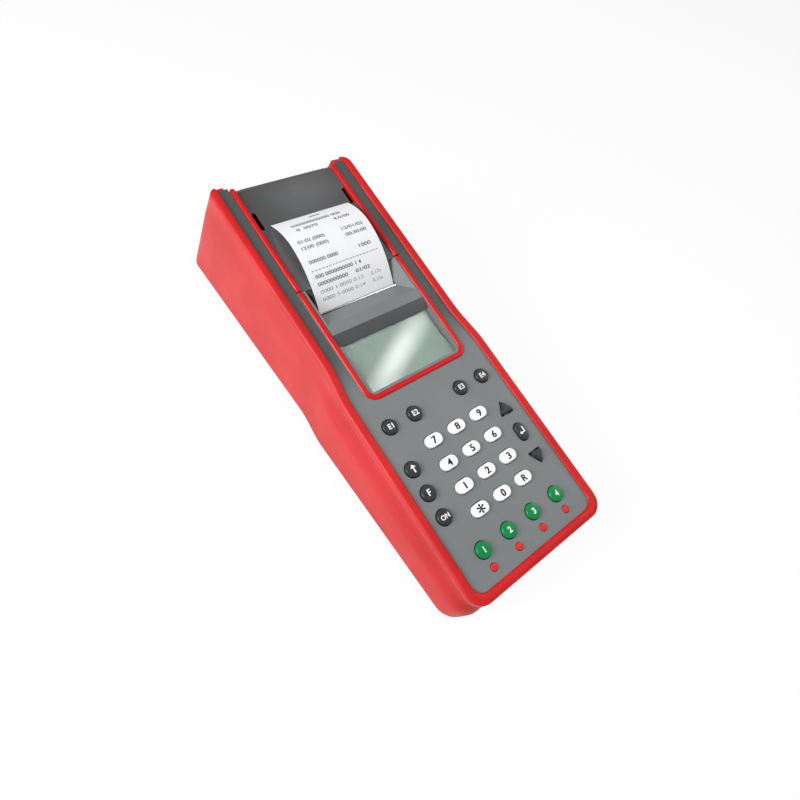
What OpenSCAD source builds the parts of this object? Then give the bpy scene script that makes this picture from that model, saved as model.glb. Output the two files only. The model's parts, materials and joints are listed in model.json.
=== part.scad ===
// Hand-held timing terminal with a thermal printer, in a rubber sleeve.
// The row frame has +Z up, +Y to the back and its origin on the floor under the middle of the box.
// Most pieces are drawn in the panel frame: x across, y up the sloping panel, z out of it, with its
// origin on the panel at the middle of the number keys.

/* [Body] */
// Length of the sleeve at the floor
body_length = 308; // [290:1:340]
// Slope of the panel above the floor, in degrees
panel_tilt = 8.1; // [6:0.1:10]
// Height of the panel above the floor at the middle of the number keys
panel_height = 46.8; // [45:0.2:52]
// Distance from the middle of the number keys to the panel's front edge
panel_front = 59.3; // [58:0.1:66]
// Visible half width of the panel beside the keys
keypad_half = 48.5; // [47:0.5:54]
// Visible half width of the panel beside the printer
printer_half = 45.7; // [45.2:0.1:52]
// Distance up the panel where the waist starts
waist_start = 61; // [58:1:64]
// Distance up the panel where the waist ends
waist_end = 90; // [80:1:100]
// Corner radius of the visible panel at the front
panel_corner = 7; // [5:0.5:10]
// Wall of the case halves
wall = 2.4; // [2:0.1:3]
// Depth of the line between the case halves below the panel
split_depth = 24; // [22:0.5:26]

/* [Sleeve] */
// Wall of the rubber sleeve at its rim
sleeve_wall = 3; // [2.5:0.1:4]
// How far the rim reaches over the panel's edge
rim_lip = 3; // [2:0.1:4]
// How far the rim stands above the panel
rim_rise = 2; // [1.2:0.1:3]
// Extra width of the sleeve's skirt below its groove
skirt_flare = 2.6; // [1:0.1:4]
// Depth of the rim band down the side
rim_band = 8; // [6:0.5:12]
// Width of the groove under the rim band
groove_height = 4; // [2:0.5:8]
// How far the sleeve reaches under the case
under_lip = 12; // [8:1:16]

/* [Keys] */
// Spacing of the number keys across
key_pitch_x = 18; // [17:0.1:20]
// Spacing of the number keys along the panel
key_pitch_y = 15.33; // [14:0.01:16]
// Length of a number key
key_length = 12.3; // [10:0.1:13]
// Width of a number key
key_width = 7.8; // [6:0.1:9]
// Diameter of a round function key
round_key_d = 9.5; // [8:0.1:10.5]
// Diameter of a green channel key
start_key_d = 9.9; // [8:0.1:11]
// Diameter of a red lock key
lock_key_d = 4.4; // [3.6:0.1:5]
// Side of a triangle key
triangle_side = 10.5; // [9:0.1:11]
// Height of a key above the panel
key_rise = 2; // [1.4:0.1:2.6]
// Travel of a key
key_travel = 1.2; // [0.8:0.1:1.4]
// Gap around a key
key_gap = 0.3; // [0.25:0.05:0.4]

/* [Display] */
// Half width of the display opening
window_half = 33; // [30:0.5:33]
// Front edge of the display opening up the panel
window_front = 64; // [63:0.5:66]
// Back edge of the display opening up the panel
window_back = 97; // [90:0.5:98]
// Middle of the red trim's side bars
trim_middle = 37.1; // [37:0.1:38]
// Width of the red trim
trim_width = 3.6; // [3:0.1:4]
// How far the red trim stands above the panel
trim_rise = 1.2; // [0.6:0.1:1.6]

/* [Printer] */
// Width of the paper
paper_width = 57.5; // [56:0.5:58]
// Diameter of the full paper roll
roll_d = 46; // [36:1:47]
// Front edge of the printer lid up the panel
lid_front = 138; // [137:0.5:140]
// Diameter of the platen roller
platen_d = 10; // [8:0.5:11]
// Thickness of the lid plate
lid_wall = 2; // [1.6:0.1:2.4]

/* [Battery] */
// Diameter of a battery cell
cell_d = 14.5; // [14:0.1:14.5]
// Length of a battery cell
cell_length = 50.5; // [48:0.5:51]
// Number of battery cells
cell_count = 4; // [3:1:4]
// Travel of the battery door
door_travel = 8; // [5:1:10]

/* [Hidden] */
$fn = 48;
// Clearances
seat_gap = 0.1; // between pieces that are pushed together
stack_gap = 0.02; // between flat pieces that lie on each other
run_gap = 0.05; // between a shaft and the hole that turns on it
free_gap = 0.3; // between pieces that move past each other

// Keys: name, shape, place across, place up the panel
column = [-1, 0, 1];
e_outer = 36.5;
e_inner = 18.4;
e_row = 42;
left_column = -39.3;
right_column = 36.6;
arrow_row = 16.5;
start_outer = 30.6;
start_inner = 10.2;
start_row = -41.3;
lock_row = -51.9;
function number_key(name, col, row) = [name, "number", col * key_pitch_x, (1.5 - row) * key_pitch_y];
number_keys = [
    for (i = [0 : 2]) number_key(str("key_", 7 + i), column[i], 0),
    for (i = [0 : 2]) number_key(str("key_", 4 + i), column[i], 1),
    for (i = [0 : 2]) number_key(str("key_", 1 + i), column[i], 2),
    number_key("key_star", -1, 3),
    number_key("key_0", 0, 3),
    number_key("key_r", 1, 3),
];
e_places = [-e_outer, -e_inner, e_inner, e_outer];
start_places = [-start_outer, -start_inner, start_inner, start_outer];
round_keys = [
    for (i = [0 : 3]) [str("key_e", i + 1), "round", e_places[i], e_row],
    ["key_up", "round", left_column, key_pitch_y],
    ["key_f", "round", left_column, 0],
    ["key_on", "round", left_column, -key_pitch_y],
    ["key_triangle_up", "up", right_column, arrow_row],
    ["key_enter", "enter", right_column, 0],
    ["key_triangle_down", "down", right_column, -arrow_row],
];
channel_keys = [
    for (i = [0 : 3]) [str("start_key_", i + 1), "start", start_places[i], start_row],
    for (i = [0 : 3]) [str("lock_key_", i + 1), "lock", start_places[i], lock_row],
];
keys = concat(number_keys, round_keys, channel_keys);

// The panel frame
case_grow = rim_lip; // how far the case reaches under the sleeve's rim
band_grow = case_grow + sleeve_wall;
skirt_grow = band_grow + skirt_flare;
skirt_top = rim_band + groove_height;
front_reach = (panel_front + skirt_grow) * cos(panel_tilt) - skirt_top * sin(panel_tilt);
panel_y = front_reach - body_length / 2;
floor_gap = 2.6; // height of the lower case above the floor
back_lean = 22; // how much further back the case is at the floor than at the panel
case_back_floor = body_length / 2 - sleeve_wall - seat_gap;
panel_back = (case_back_floor - back_lean - panel_y) / cos(panel_tilt);
waist_length = waist_end - waist_start;
tall = 150; // longer than any cut through the case
module on_panel() { translate([0, panel_y, panel_height]) rotate([panel_tilt, 0, 0]) children(); }
// A shape drawn as (up the panel, out of the panel), given a width across
module across(from, width) { translate([from, 0, 0]) rotate([90, 0, 90]) linear_extrude(width) children(); }
// Place in the row frame of a point of the panel frame
function row_y(v, z) = panel_y + v * cos(panel_tilt) - z * sin(panel_tilt);
function row_z(v, z) = panel_height + v * sin(panel_tilt) + z * cos(panel_tilt);

// Outline of the panel grown by an amount: straight, a smooth waist, straight, square at the back
function smooth(t) = t * t * (3 - 2 * t);
function panel_half(v) =
    keypad_half + (printer_half - keypad_half) * smooth((v - waist_start) / waist_length);
waist_steps = 6;
corner_steps = 5;
function waist_points(grow) =
    [for (i = [0 : waist_steps])
        let (v = waist_start + waist_length * i / waist_steps) [panel_half(v) + grow, v]];
function corner_points(half, front, r) =
    [for (i = [0 : corner_steps])
        let (a = -90 + 90 * i / corner_steps) [half - r + r * cos(a), front + r + r * sin(a)]];
function mirrored(points) = [for (i = [len(points) - 1 : -1 : 0]) [-points[i][0], points[i][1]]];
module outline(grow) {
    corner = max(1, panel_corner + grow * 0.6);
    right = concat(
        corner_points(keypad_half + grow, -panel_front - grow, corner),
        waist_points(grow),
        [[printer_half + grow, panel_back + tall]]
    );
    polygon(concat(right, mirrored(right)));
}

// The space between a height above the floor, the leaning back face and a plane along the panel
module wedge(grow, bottom, back_inset, top) {
    back_floor = case_back_floor - back_inset;
    top_z = row_z(panel_back, 0);
    over = 1.5;
    intersection() {
        on_panel() translate([0, 0, top - tall]) linear_extrude(tall) outline(grow);
        rotate([90, 0, 90]) translate([0, 0, -tall]) linear_extrude(2 * tall)
            polygon([
                [-body_length, bottom],
                [back_floor - back_lean * bottom / top_z, bottom],
                [back_floor - back_lean * over, top_z * over],
                [-body_length, top_z * over],
            ]);
    }
}

// Key outlines, grown by an amount
module stadium(length, width, grow) {
    reach = (length - width) / 2;
    square([2 * reach, width + 2 * grow], center = true);
    for (side = [-1, 1]) translate([side * reach, 0]) circle(d = width + 2 * grow);
}
module triangle(turn, grow) {
    r = triangle_side / sqrt(3) + 2 * grow;
    intersection() {
        rotate(turn) circle(r = r, $fn = 3);
        circle(r = r * 0.87);
    }
}
enter_length = 12;
enter_width = 7;
module key_shape(shape, grow) {
    if (shape == "number") stadium(key_length, key_width, grow);
    if (shape == "round") circle(d = round_key_d + 2 * grow);
    if (shape == "start") circle(d = start_key_d + 2 * grow);
    if (shape == "lock") circle(d = lock_key_d + 2 * grow);
    if (shape == "enter") rotate(90) stadium(enter_length, enter_width, grow);
    if (shape == "up") triangle(90, grow);
    if (shape == "down") triangle(-90, grow);
}
flange_wall = 1.2;
flange_reach = 0.9;
flange_top = -wall - key_gap;
flange_bottom = flange_top - flange_wall;
dome_top = flange_bottom - key_travel - free_gap;
dome_height = 2;
mat_wall = 2;
board_top = dome_top - dome_height - mat_wall;
board_wall = 1.6;
lock_rise = 1;
function rise_of(shape) = shape == "lock" ? lock_rise : key_rise;
function colour_of(shape) =
    shape == "number" ? [0.93, 0.93, 0.92] :
    shape == "start" ? [0.05, 0.5, 0.27] :
    shape == "lock" ? [0.75, 0.12, 0.12] : [0.24, 0.24, 0.25];
module key(k) {
    rise = rise_of(k[1]);
    crown = 0.4;
    color(colour_of(k[1])) on_panel() translate([k[2], k[3], 0]) {
        translate([0, 0, flange_bottom]) linear_extrude(rise - crown - flange_bottom) key_shape(k[1], 0);
        translate([0, 0, rise - crown]) linear_extrude(crown) key_shape(k[1], -crown);
        translate([0, 0, flange_bottom]) linear_extrude(flange_wall) key_shape(k[1], flange_reach);
    }
}

// Printer places, in the panel frame
bezel_half = trim_middle - trim_width / 2 - free_gap;
bay_half = trim_middle + trim_width / 2 + free_gap;
platen_r = platen_d / 2;
paper_wall = 0.25;
paper_track = platen_r + free_gap + paper_wall / 2; // radius of the paper's middle round the platen
mouth_v = 124.8; // the paper's middle plane at the mouth
platen_v = mouth_v + paper_track;
platen_z = -17;
tear_v = 123.6;
tear_z = -7.6;
head_top = -10.8;
head_bottom = -23;
head_wall = 3.2;
head_v = mouth_v - paper_wall / 2 - free_gap; // back face of the print head
frame_front = 117;
roll_v = lid_front + 29;
roll_z = -13 - roll_d / 2;
frame_back = roll_v + roll_d / 2 + 2;
frame_in = 30.2;
frame_wall = 1.5;
frame_top = -9.4;
frame_out = frame_in + frame_wall;
spindle_r = 6.2;
spindle_end_r = 3;
shaft_r = 2;
motor_v = platen_v - 2;
motor_z = platen_z - 25;
motor_r = 9;
motor_shaft_r = 1;
stub_r = 1.5;

// Gear train: platen, idler, pinion
gear_module = 0.6;
platen_teeth = 26;
idler_teeth = 26;
pinion_teeth = 14;
gear_start = frame_out + 0.5;
gear_wall = 3;
function pitch_r(n) = gear_module * n / 2;
platen_to_idler = pitch_r(platen_teeth) + pitch_r(idler_teeth);
pinion_to_idler = pitch_r(pinion_teeth) + pitch_r(idler_teeth);
train_length = norm([motor_v - platen_v, motor_z - platen_z]);
train_angle = atan2(motor_z - platen_z, motor_v - platen_v);
idler_swing = acos((platen_to_idler * platen_to_idler + train_length * train_length
    - pinion_to_idler * pinion_to_idler) / (2 * platen_to_idler * train_length));
idler_angle = train_angle + idler_swing;
idler_v = platen_v + platen_to_idler * cos(idler_angle);
idler_z = platen_z + platen_to_idler * sin(idler_angle);
pinion_angle = atan2(motor_z - idler_z, motor_v - idler_v);
idler_turn = idler_angle + 180 + 180 / idler_teeth;
tooth_step = 360 / idler_teeth;
pinion_phase = (pinion_angle - idler_turn) / tooth_step - floor((pinion_angle - idler_turn) / tooth_step);
pinion_turn = pinion_angle + 180 - (0.5 - pinion_phase) * 360 / pinion_teeth;
tooth_steps = [[-0.23, -1.2], [-0.09, 0.75], [0.09, 0.75], [0.23, -1.2]];
module gear(teeth, turn, bore_r) {
    difference() {
        rotate(turn) polygon([for (i = [0 : teeth - 1], s = tooth_steps)
            let (a = (i + s[0]) * 360 / teeth, r = pitch_r(teeth) + s[1] * gear_module)
            [r * cos(a), r * sin(a)]]);
        if (bore_r > 0) circle(r = bore_r);
    }
}

// Lid places
hinge_r = 3.6;
hinge_v = panel_back - hinge_r - 0.4;
hinge_z = -hinge_r - 0.6;
pin_r = 1.5;
ear_in = 31.3;
ear_out = 34.3;
ear_r = 3;
bay_drop = hinge_z - hinge_r - 1; // depth of the notch in the back wall
lid_top = -0.6;
lid_bottom = lid_top - lid_wall;
trim_in = trim_middle - trim_width / 2;

// Screws: places across and up the panel
boss_r = 3.6;
screw_r = 1.5;
screw_head_r = 2.8;
front_screws = -33;
middle_screws = 57;
back_screws = 128;
screw_places = [
    [keypad_half - 3, front_screws],
    [keypad_half - 3.4, middle_screws],
    [bay_half + boss_r - 0.4, back_screws],
];
module at_screws() {
    for (p = screw_places, side = [-1, 1])
        translate([side * p[0], row_y(p[1], -split_depth), 0]) children();
}
module half_space(top) { translate([-tall, -tall, top]) cube([2 * tall, 4 * tall, tall]); }

// Back sockets
socket_pitch = 19;
socket_r = 4.2;
socket_bore_r = 2.05;
socket_depth = 14;
socket_length = 22;
socket_low = 28;
jack_x = 39;
jack_r = 4.6;
jack_bore_r = 2.75;
jack_pin_r = 1.05;
socket_rows = [socket_low, socket_low + socket_pitch];
socket_columns = [-1.5, -0.5, 0.5, 1.5];
jack_z = socket_low + socket_pitch / 2;
function back_y(z) = case_back_floor - back_lean * z / row_z(panel_back, 0);
module along_back(z) { translate([0, back_y(z), z]) rotate([-90, 0, 0]) children(); }
module at_sockets() {
    for (z = socket_rows, c = socket_columns)
        translate([c * socket_pitch, 0, 0]) along_back(z) children();
}
module rear_holes(grow) {
    at_sockets() cylinder(h = 40, r = socket_r + grow, center = true);
    translate([jack_x, 0, 0]) along_back(jack_z) cylinder(h = 40, r = jack_r + grow, center = true);
}

// Battery places, in the row frame
door_half = 33;
door_low = floor_gap + free_gap;
door_wall = 2.1;
door_top = door_low + door_wall;
tongue = 1.2;
cell_pitch = cell_d + 0.5;
cells_length = cell_count * cell_pitch;
cells_y = panel_y;
door_front = cells_y - cells_length / 2 - 4;
door_length = cells_length + 8;
cell_z = door_top + free_gap + cell_d / 2;
tray_top = door_top + free_gap + wall;
module box(x, y0, y1, z0, z1) { translate([-x, y0, z0]) cube([2 * x, y1 - y0, z1 - z0]); }

// Sleeve: a rim band, a groove and a flared skirt, open over the panel, under the case and at the back
module rubber_sleeve() {
    back_out = -sleeve_wall - seat_gap;
    inner = case_grow + seat_gap;
    color([0.78, 0.13, 0.14]) difference() {
        union() {
            wedge(band_grow, 0, back_out, rim_rise);
            wedge(skirt_grow, 0, back_out, -skirt_top);
        }
        // Groove under the rim band
        difference() {
            wedge(band_grow + 1, -1, back_out - 5, -rim_band);
            wedge(band_grow - 0.8, -2, back_out, -rim_band);
            on_panel() translate([-tall, -tall, -skirt_top - tall]) cube([2 * tall, 4 * tall, tall]);
            on_panel() translate([-tall, waist_end, -tall]) cube([2 * tall, 2 * tall, 2 * tall]);
        }
        // The case
        wedge(inner, floor_gap - seat_gap, -seat_gap, seat_gap);
        // The panel opening and the opening for the lid through the back
        on_panel() translate([0, 0, -1]) linear_extrude(10) outline(0);
        on_panel() translate([-bay_half - 1, panel_back - 20, bay_drop - 1]) cube([2 * bay_half + 2, 60, 40]);
        // Under the case
        intersection() {
            translate([0, 0, -1]) wedge(case_grow - under_lip, 0, under_lip, 0);
            box(tall, -body_length, body_length, -2, floor_gap + 1);
        }
        // The window for the sockets
        box(printer_half - 1, 0, body_length, socket_low - socket_r - 4, socket_rows[1] + socket_r + 4);
    }
}

// Case halves
module case_shell() {
    difference() {
        wedge(case_grow, floor_gap, 0, 0);
        wedge(case_grow - wall, floor_gap + wall, wall, -wall);
    }
}
module upper_case() {
    color([0.47, 0.5, 0.5]) {
        difference() {
            intersection() {
                union() {
                    case_shell();
                    intersection() {
                        wedge(case_grow, floor_gap, 0, -wall / 2);
                        at_screws() cylinder(h = tall, r = boss_r);
                    }
                }
                on_panel() half_space(-split_depth + seat_gap / 2);
            }
            for (p = screw_places, side = [-1, 1])
                translate([side * p[0], row_y(p[1], -split_depth), 0])
                    cylinder(h = row_z(p[1], -wall) - 4, r = screw_r + run_gap);
            on_panel() {
                for (k = keys) translate([k[2], k[3], -wall - 1])
                    linear_extrude(wall + 2) key_shape(k[1], key_gap);
                translate([-window_half, window_front, -wall - 1])
                    cube([2 * window_half, window_back - window_front + 0.5, wall + 2]);
                translate([-bezel_half - seat_gap, window_back, -wall - 1])
                    cube([2 * (bezel_half + seat_gap), lid_front - window_back + 1, wall + 2]);
                translate([-bay_half, lid_front, -wall - 1]) cube([2 * bay_half, tall, wall + 2]);
                translate([-bay_half, panel_back - 20, bay_drop]) cube([2 * bay_half, tall, tall]);
            }
            rear_holes(seat_gap);
        }
        on_panel() hinge_ears();
    }
}
module hinge_ears() {
    for (side = [-1, 1]) scale([side, 1, 1]) across(ear_in, ear_out - ear_in) difference() {
        union() {
            translate([hinge_v, hinge_z]) circle(r = ear_r);
            translate([hinge_v - ear_r, bay_drop - 4]) square([2 * ear_r, hinge_z - bay_drop + 4]);
        }
        translate([hinge_v, hinge_z]) circle(r = pin_r + run_gap);
    }
}
module lower_case() {
    color([0.42, 0.44, 0.45]) difference() {
        union() {
            difference() {
                case_shell();
                on_panel() half_space(-split_depth - seat_gap / 2);
            }
            intersection() {
                wedge(case_grow, floor_gap, 0, -split_depth - seat_gap / 2);
                union() {
                    at_screws() cylinder(h = tall, r = boss_r);
                    box(door_half + 4, door_front - door_travel - 3, door_front + door_length + 3,
                        floor_gap, tray_top);
                }
            }
        }
        at_screws() {
            cylinder(h = tall, r = screw_r + seat_gap);
            cylinder(h = floor_gap + 2.2, r = screw_head_r + seat_gap);
        }
        // Recess, grooves and opening for the battery door
        box(door_half + free_gap, door_front - door_travel - free_gap, door_front + door_length + free_gap,
            0, door_top + free_gap);
        box(door_half + tongue + free_gap, door_front - door_travel - free_gap,
            door_front + door_length + free_gap, door_low + 0.3, door_top - 0.2);
        box(cell_length / 2 + 2, door_front + 3, door_front + door_length - 3, 0, tray_top + 1);
        rear_holes(seat_gap);
    }
}
module case_screws() {
    color([0.7, 0.7, 0.72]) for (p = screw_places, side = [-1, 1])
        translate([side * p[0], row_y(p[1], -split_depth), 0]) difference() {
            union() {
                translate([0, 0, floor_gap + 0.1]) cylinder(h = 2.1, r = screw_head_r);
                translate([0, 0, floor_gap + 0.1]) cylinder(h = row_z(p[1], -split_depth) + 6, r = screw_r);
            }
            translate([0, 0, floor_gap - 1]) cylinder(h = 2, r = 1.2, $fn = 6);
        }
}

// Display
trim_corner = 6;
module trim_profile() {
    crown = 0.5;
    translate([-trim_width / 2, stack_gap]) square([trim_width, trim_rise - crown - stack_gap]);
    translate([-trim_width / 2 + crown, stack_gap]) square([trim_width - 2 * crown, trim_rise - stack_gap]);
}
module display_trim() {
    front = waist_start - 0.7;
    reach = trim_middle - trim_corner;
    color([0.78, 0.13, 0.14]) on_panel() {
        for (side = [-1, 1]) {
            translate([side * trim_middle, lid_front - free_gap, 0]) rotate([90, 0, 0])
                linear_extrude(lid_front - free_gap - front - trim_corner) trim_profile();
            translate([side * reach, front + trim_corner, 0]) rotate(side > 0 ? -90 : 180)
                rotate_extrude(angle = 90) translate([trim_corner, 0]) trim_profile();
        }
        translate([-reach, front, 0]) rotate([90, 0, 90]) linear_extrude(2 * reach) trim_profile();
    }
}
window_wall = 1.5;
window_top = -wall - seat_gap;
module display_window() {
    color([0.75, 0.8, 0.78]) on_panel()
        translate([-window_half - 1.5, window_front - 1.5, window_top - window_wall])
            cube([2 * window_half + 3, window_back - window_front + 3, window_wall]);
}
lcd_top = window_top - window_wall - seat_gap;
module lcd_module() {
    border = 4;
    glass = 2.8;
    length = window_back - window_front;
    color([0.5, 0.56, 0.52]) on_panel() {
        translate([-window_half - 1, window_front - 1, lcd_top - glass])
            cube([2 * window_half + 2, length + 2, glass]);
        translate([-window_half + border, window_front + border, board_top + seat_gap])
            cube([2 * (window_half - border), length - 2 * border, lcd_top - glass - board_top]);
    }
}

// Keypad
board_half = 44;
board_front = -panel_front + 5;
board_back = window_back + 0.5;
module boss_clearance() { at_screws() cylinder(h = tall, r = boss_r + 0.5); }
module main_board() {
    color([0.1, 0.35, 0.2]) difference() {
        on_panel() translate([-board_half, board_front, board_top - board_wall])
            cube([2 * board_half, board_back - board_front, board_wall]);
        boss_clearance();
    }
}
module keypad_mat() {
    dome_r = 2;
    color([0.6, 0.6, 0.58]) difference() {
        on_panel() {
            translate([-board_half, board_front, board_top + stack_gap])
                cube([2 * board_half, e_row + 8 - board_front, mat_wall]);
            for (k = keys) translate([k[2], k[3], board_top + mat_wall / 2])
                cylinder(h = dome_top - board_top - mat_wall / 2, r = dome_r);
        }
        boss_clearance();
    }
}

// Printer
ridge_v = 111;
bezel_bottom = -8.9;
funnel_half = bezel_half - 1.2;
module printer_bezel() {
    arm_in = frame_in - 0.7;
    color([0.45, 0.47, 0.47]) on_panel() difference() {
        across(-bezel_half, 2 * bezel_half) polygon([
            [window_back + 0.2, -2.3],
            [window_back + 8, 0.5],
            [lid_front - free_gap, 0.5],
            [lid_front - free_gap, bezel_bottom + 0.5],
            [window_back + 2, bezel_bottom + 0.5],
            [window_back + 2, -2.3],
        ]);
        hull() {
            translate([-funnel_half, ridge_v, 1]) cube([2 * funnel_half, lid_front - ridge_v + 1, 1]);
            translate([-arm_in, tear_v - 0.8, tear_z]) cube([2 * arm_in, lid_front - tear_v + 1.8, 1]);
        }
        translate([-arm_in, tear_v - 0.8, bezel_bottom - 1]) cube([2 * arm_in, lid_front - tear_v + 2, 12]);
    }
}
module tear_bar() {
    half = frame_in - 0.8;
    teeth = 48;
    step = 2 * half / teeth;
    color([0.8, 0.8, 0.82]) on_panel() {
        translate([0, tear_v, tear_z - 2.4]) rotate([90, 0, 0]) linear_extrude(0.7)
            polygon(concat(
                [[-half, 0], [half, 0]],
                [for (i = [0 : teeth - 1]) each [[half - i * step, 1.8], [half - (i + 0.5) * step, 2.4]]],
                [[-half, 1.8]]
            ));
    }
}
module printer_frame() {
    bottom = floor_gap + wall + seat_gap;
    color([0.62, 0.63, 0.65]) intersection() {
        wedge(case_grow, bottom, wall, 0);
        on_panel() {
            for (side = [-1, 1]) scale([side, 1, 1]) across(frame_in, frame_wall) difference() {
                translate([frame_front, -tall]) square([frame_back - frame_front, tall + frame_top]);
                translate([platen_v, platen_z]) circle(r = shaft_r + run_gap);
                translate([roll_v, roll_z]) circle(r = spindle_end_r + run_gap);
                translate([motor_v, motor_z]) circle(r = motor_shaft_r + 0.6);
            }
            across(-frame_in - 0.1, 2 * frame_in + 0.2)
                translate([frame_front, head_bottom - 6]) square([frame_wall, frame_top - head_bottom + 6]);
            across(frame_out - 0.1, gear_wall + 1)
                translate([idler_v, idler_z]) circle(r = stub_r);
        }
    }
}
module print_head() {
    color([0.3, 0.3, 0.32]) on_panel() across(-frame_in + 0.3, 2 * frame_in - 0.6)
        translate([head_v - head_wall, head_bottom]) square([head_wall, head_top - head_bottom]);
}
module head_springs() {
    back = head_v - head_wall - seat_gap;
    front = frame_front + frame_wall + seat_gap;
    middle = (head_top + head_bottom) / 2;
    t = 0.4;
    color([0.75, 0.75, 0.77]) on_panel() for (side = [-1, 1]) across(side * 18 - 4, 8) polygon([
        [front, middle - 4], [front + t, middle - 4], [back, middle - t], [back, middle + t],
        [front + t, middle + 4], [front, middle + 4], [back - t, middle],
    ]);
}
module platen_roller() {
    color([0.15, 0.15, 0.16]) on_panel() {
        across(-frame_in + 0.4, 2 * frame_in - 0.8) translate([platen_v, platen_z]) circle(r = platen_r);
        across(-frame_out - 0.5, frame_out + gear_start + gear_wall + 0.5)
            translate([platen_v, platen_z]) circle(r = shaft_r);
    }
}
module platen_gear() {
    color([0.9, 0.88, 0.8]) on_panel() across(gear_start, gear_wall)
        translate([platen_v, platen_z]) gear(platen_teeth, idler_angle, shaft_r + 0.02);
}
module idler_gear() {
    color([0.9, 0.88, 0.8]) on_panel() across(gear_start, gear_wall)
        translate([idler_v, idler_z]) gear(idler_teeth, idler_turn, stub_r + run_gap);
}
module motor_pinion() {
    color([0.75, 0.62, 0.3]) on_panel() {
        across(gear_start, gear_wall) translate([motor_v, motor_z]) gear(pinion_teeth, pinion_turn, 0);
        across(frame_in - 5, gear_start + 0.5 - frame_in + 5)
            translate([motor_v, motor_z]) circle(r = motor_shaft_r);
    }
}
module feed_motor() {
    length = 26;
    color([0.35, 0.36, 0.38]) on_panel() difference() {
        across(frame_in - seat_gap - length, length) translate([motor_v, motor_z]) circle(r = motor_r);
        across(frame_in - 6, 7) translate([motor_v, motor_z]) circle(r = motor_shaft_r + run_gap);
    }
}
module roll_spindle() {
    color([0.2, 0.2, 0.22]) on_panel() {
        across(-frame_in + 0.3, 2 * frame_in - 0.6) translate([roll_v, roll_z]) circle(r = spindle_r);
        across(-frame_out, 2 * frame_out) translate([roll_v, roll_z]) circle(r = spindle_end_r);
    }
}
module paper_roll() {
    color([0.96, 0.96, 0.94]) on_panel() across(-paper_width / 2, paper_width)
        translate([roll_v, roll_z]) difference() {
            circle(r = roll_d / 2, $fn = 96);
            circle(r = spindle_r + run_gap);
        }
}

// Paper: a band of even thickness along a path
function heading(p, i) = atan2(
    p[min(i + 1, len(p) - 1)][1] - p[max(i - 1, 0)][1],
    p[min(i + 1, len(p) - 1)][0] - p[max(i - 1, 0)][0]
);
function beside(p, t) = [for (i = [0 : len(p) - 1]) p[i] + t * [-sin(heading(p, i)), cos(heading(p, i))]];
function backwards(p) = [for (i = [len(p) - 1 : -1 : 0]) p[i]];
module band(p) { polygon(concat(beside(p, paper_wall / 2), backwards(beside(p, -paper_wall / 2)))); }
roll_track = roll_d / 2 + free_gap + paper_wall / 2;
web_run = [roll_v - platen_v, roll_z - platen_z];
web_angle = atan2(web_run[1], web_run[0]) - acos((paper_track - roll_track) / norm(web_run)) + 360;
web_steps = 6;
mouth_z = -9.2;
web_path = concat(
    [[roll_v, roll_z] + roll_track * [cos(web_angle), sin(web_angle)]],
    [for (i = [0 : web_steps])
        let (a = web_angle + (180 - web_angle) * i / web_steps)
        [platen_v, platen_z] + paper_track * [cos(a), sin(a)]],
    [[mouth_v, mouth_z - 0.2]]
);
crest_v = mouth_v + 39.7;
crest_z = 8;
end_v = crest_v + 21;
end_z = 0.8;
strip_steps = 8;
function arch(v, v0, z0) = crest_z - (crest_z - z0) * pow((v - crest_v) / (v0 - crest_v), 2);
strip_path = concat(
    [for (i = [0 : strip_steps]) let (v = mouth_v + (crest_v - mouth_v) * i / strip_steps)
        [v, arch(v, mouth_v, mouth_z)]],
    [for (i = [1 : strip_steps / 2]) let (v = crest_v + (end_v - crest_v) * i * 2 / strip_steps)
        [v, arch(v, end_v, end_z)]]
);
module paper_web() {
    color([0.96, 0.96, 0.94]) on_panel() across(-paper_width / 2, paper_width) band(web_path);
}
module paper_strip() {
    color([0.97, 0.97, 0.96]) on_panel() across(-paper_width / 2, paper_width) band(strip_path);
}

// Lid
notch_v = panel_back - 34;
module printer_lid() {
    color([0.38, 0.39, 0.4]) on_panel() difference() {
        union() {
            translate([-trim_in, lid_front, lid_bottom]) cube([2 * trim_in, hinge_v - lid_front, lid_wall]);
            across(-trim_in, 2 * trim_in) difference() {
                translate([hinge_v, hinge_z]) circle(r = hinge_r);
                translate([hinge_v, hinge_z]) circle(r = pin_r + run_gap);
            }
        }
        // Room for the ears, and a finger notch in each side
        for (side = [-1, 1]) scale([side, 1, 1]) {
            translate([ear_in - free_gap, hinge_v - hinge_r - 1.2, -20])
                cube([ear_out - ear_in + 2 * free_gap, 20, 30]);
            translate([trim_in - 3.2, notch_v, -10]) cube([4, 13, 20]);
        }
    }
}
module lid_trim() {
    color([0.78, 0.13, 0.14]) on_panel() for (side = [-1, 1]) scale([side, 1, 1])
        across(trim_in, trim_width) difference() {
            union() {
                translate([lid_front, lid_bottom]) square([hinge_v - lid_front, trim_rise - lid_bottom]);
                translate([hinge_v, hinge_z]) circle(r = hinge_r);
                translate([hinge_v, hinge_z]) square([hinge_r - 0.8, trim_rise - hinge_z - 0.8]);
            }
            translate([hinge_v, hinge_z]) circle(r = pin_r + run_gap);
        }
}
module lid_hinge_pin() {
    color([0.75, 0.75, 0.77]) on_panel() across(-trim_in - trim_width, 2 * (trim_in + trim_width))
        translate([hinge_v, hinge_z]) circle(r = pin_r);
}

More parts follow.
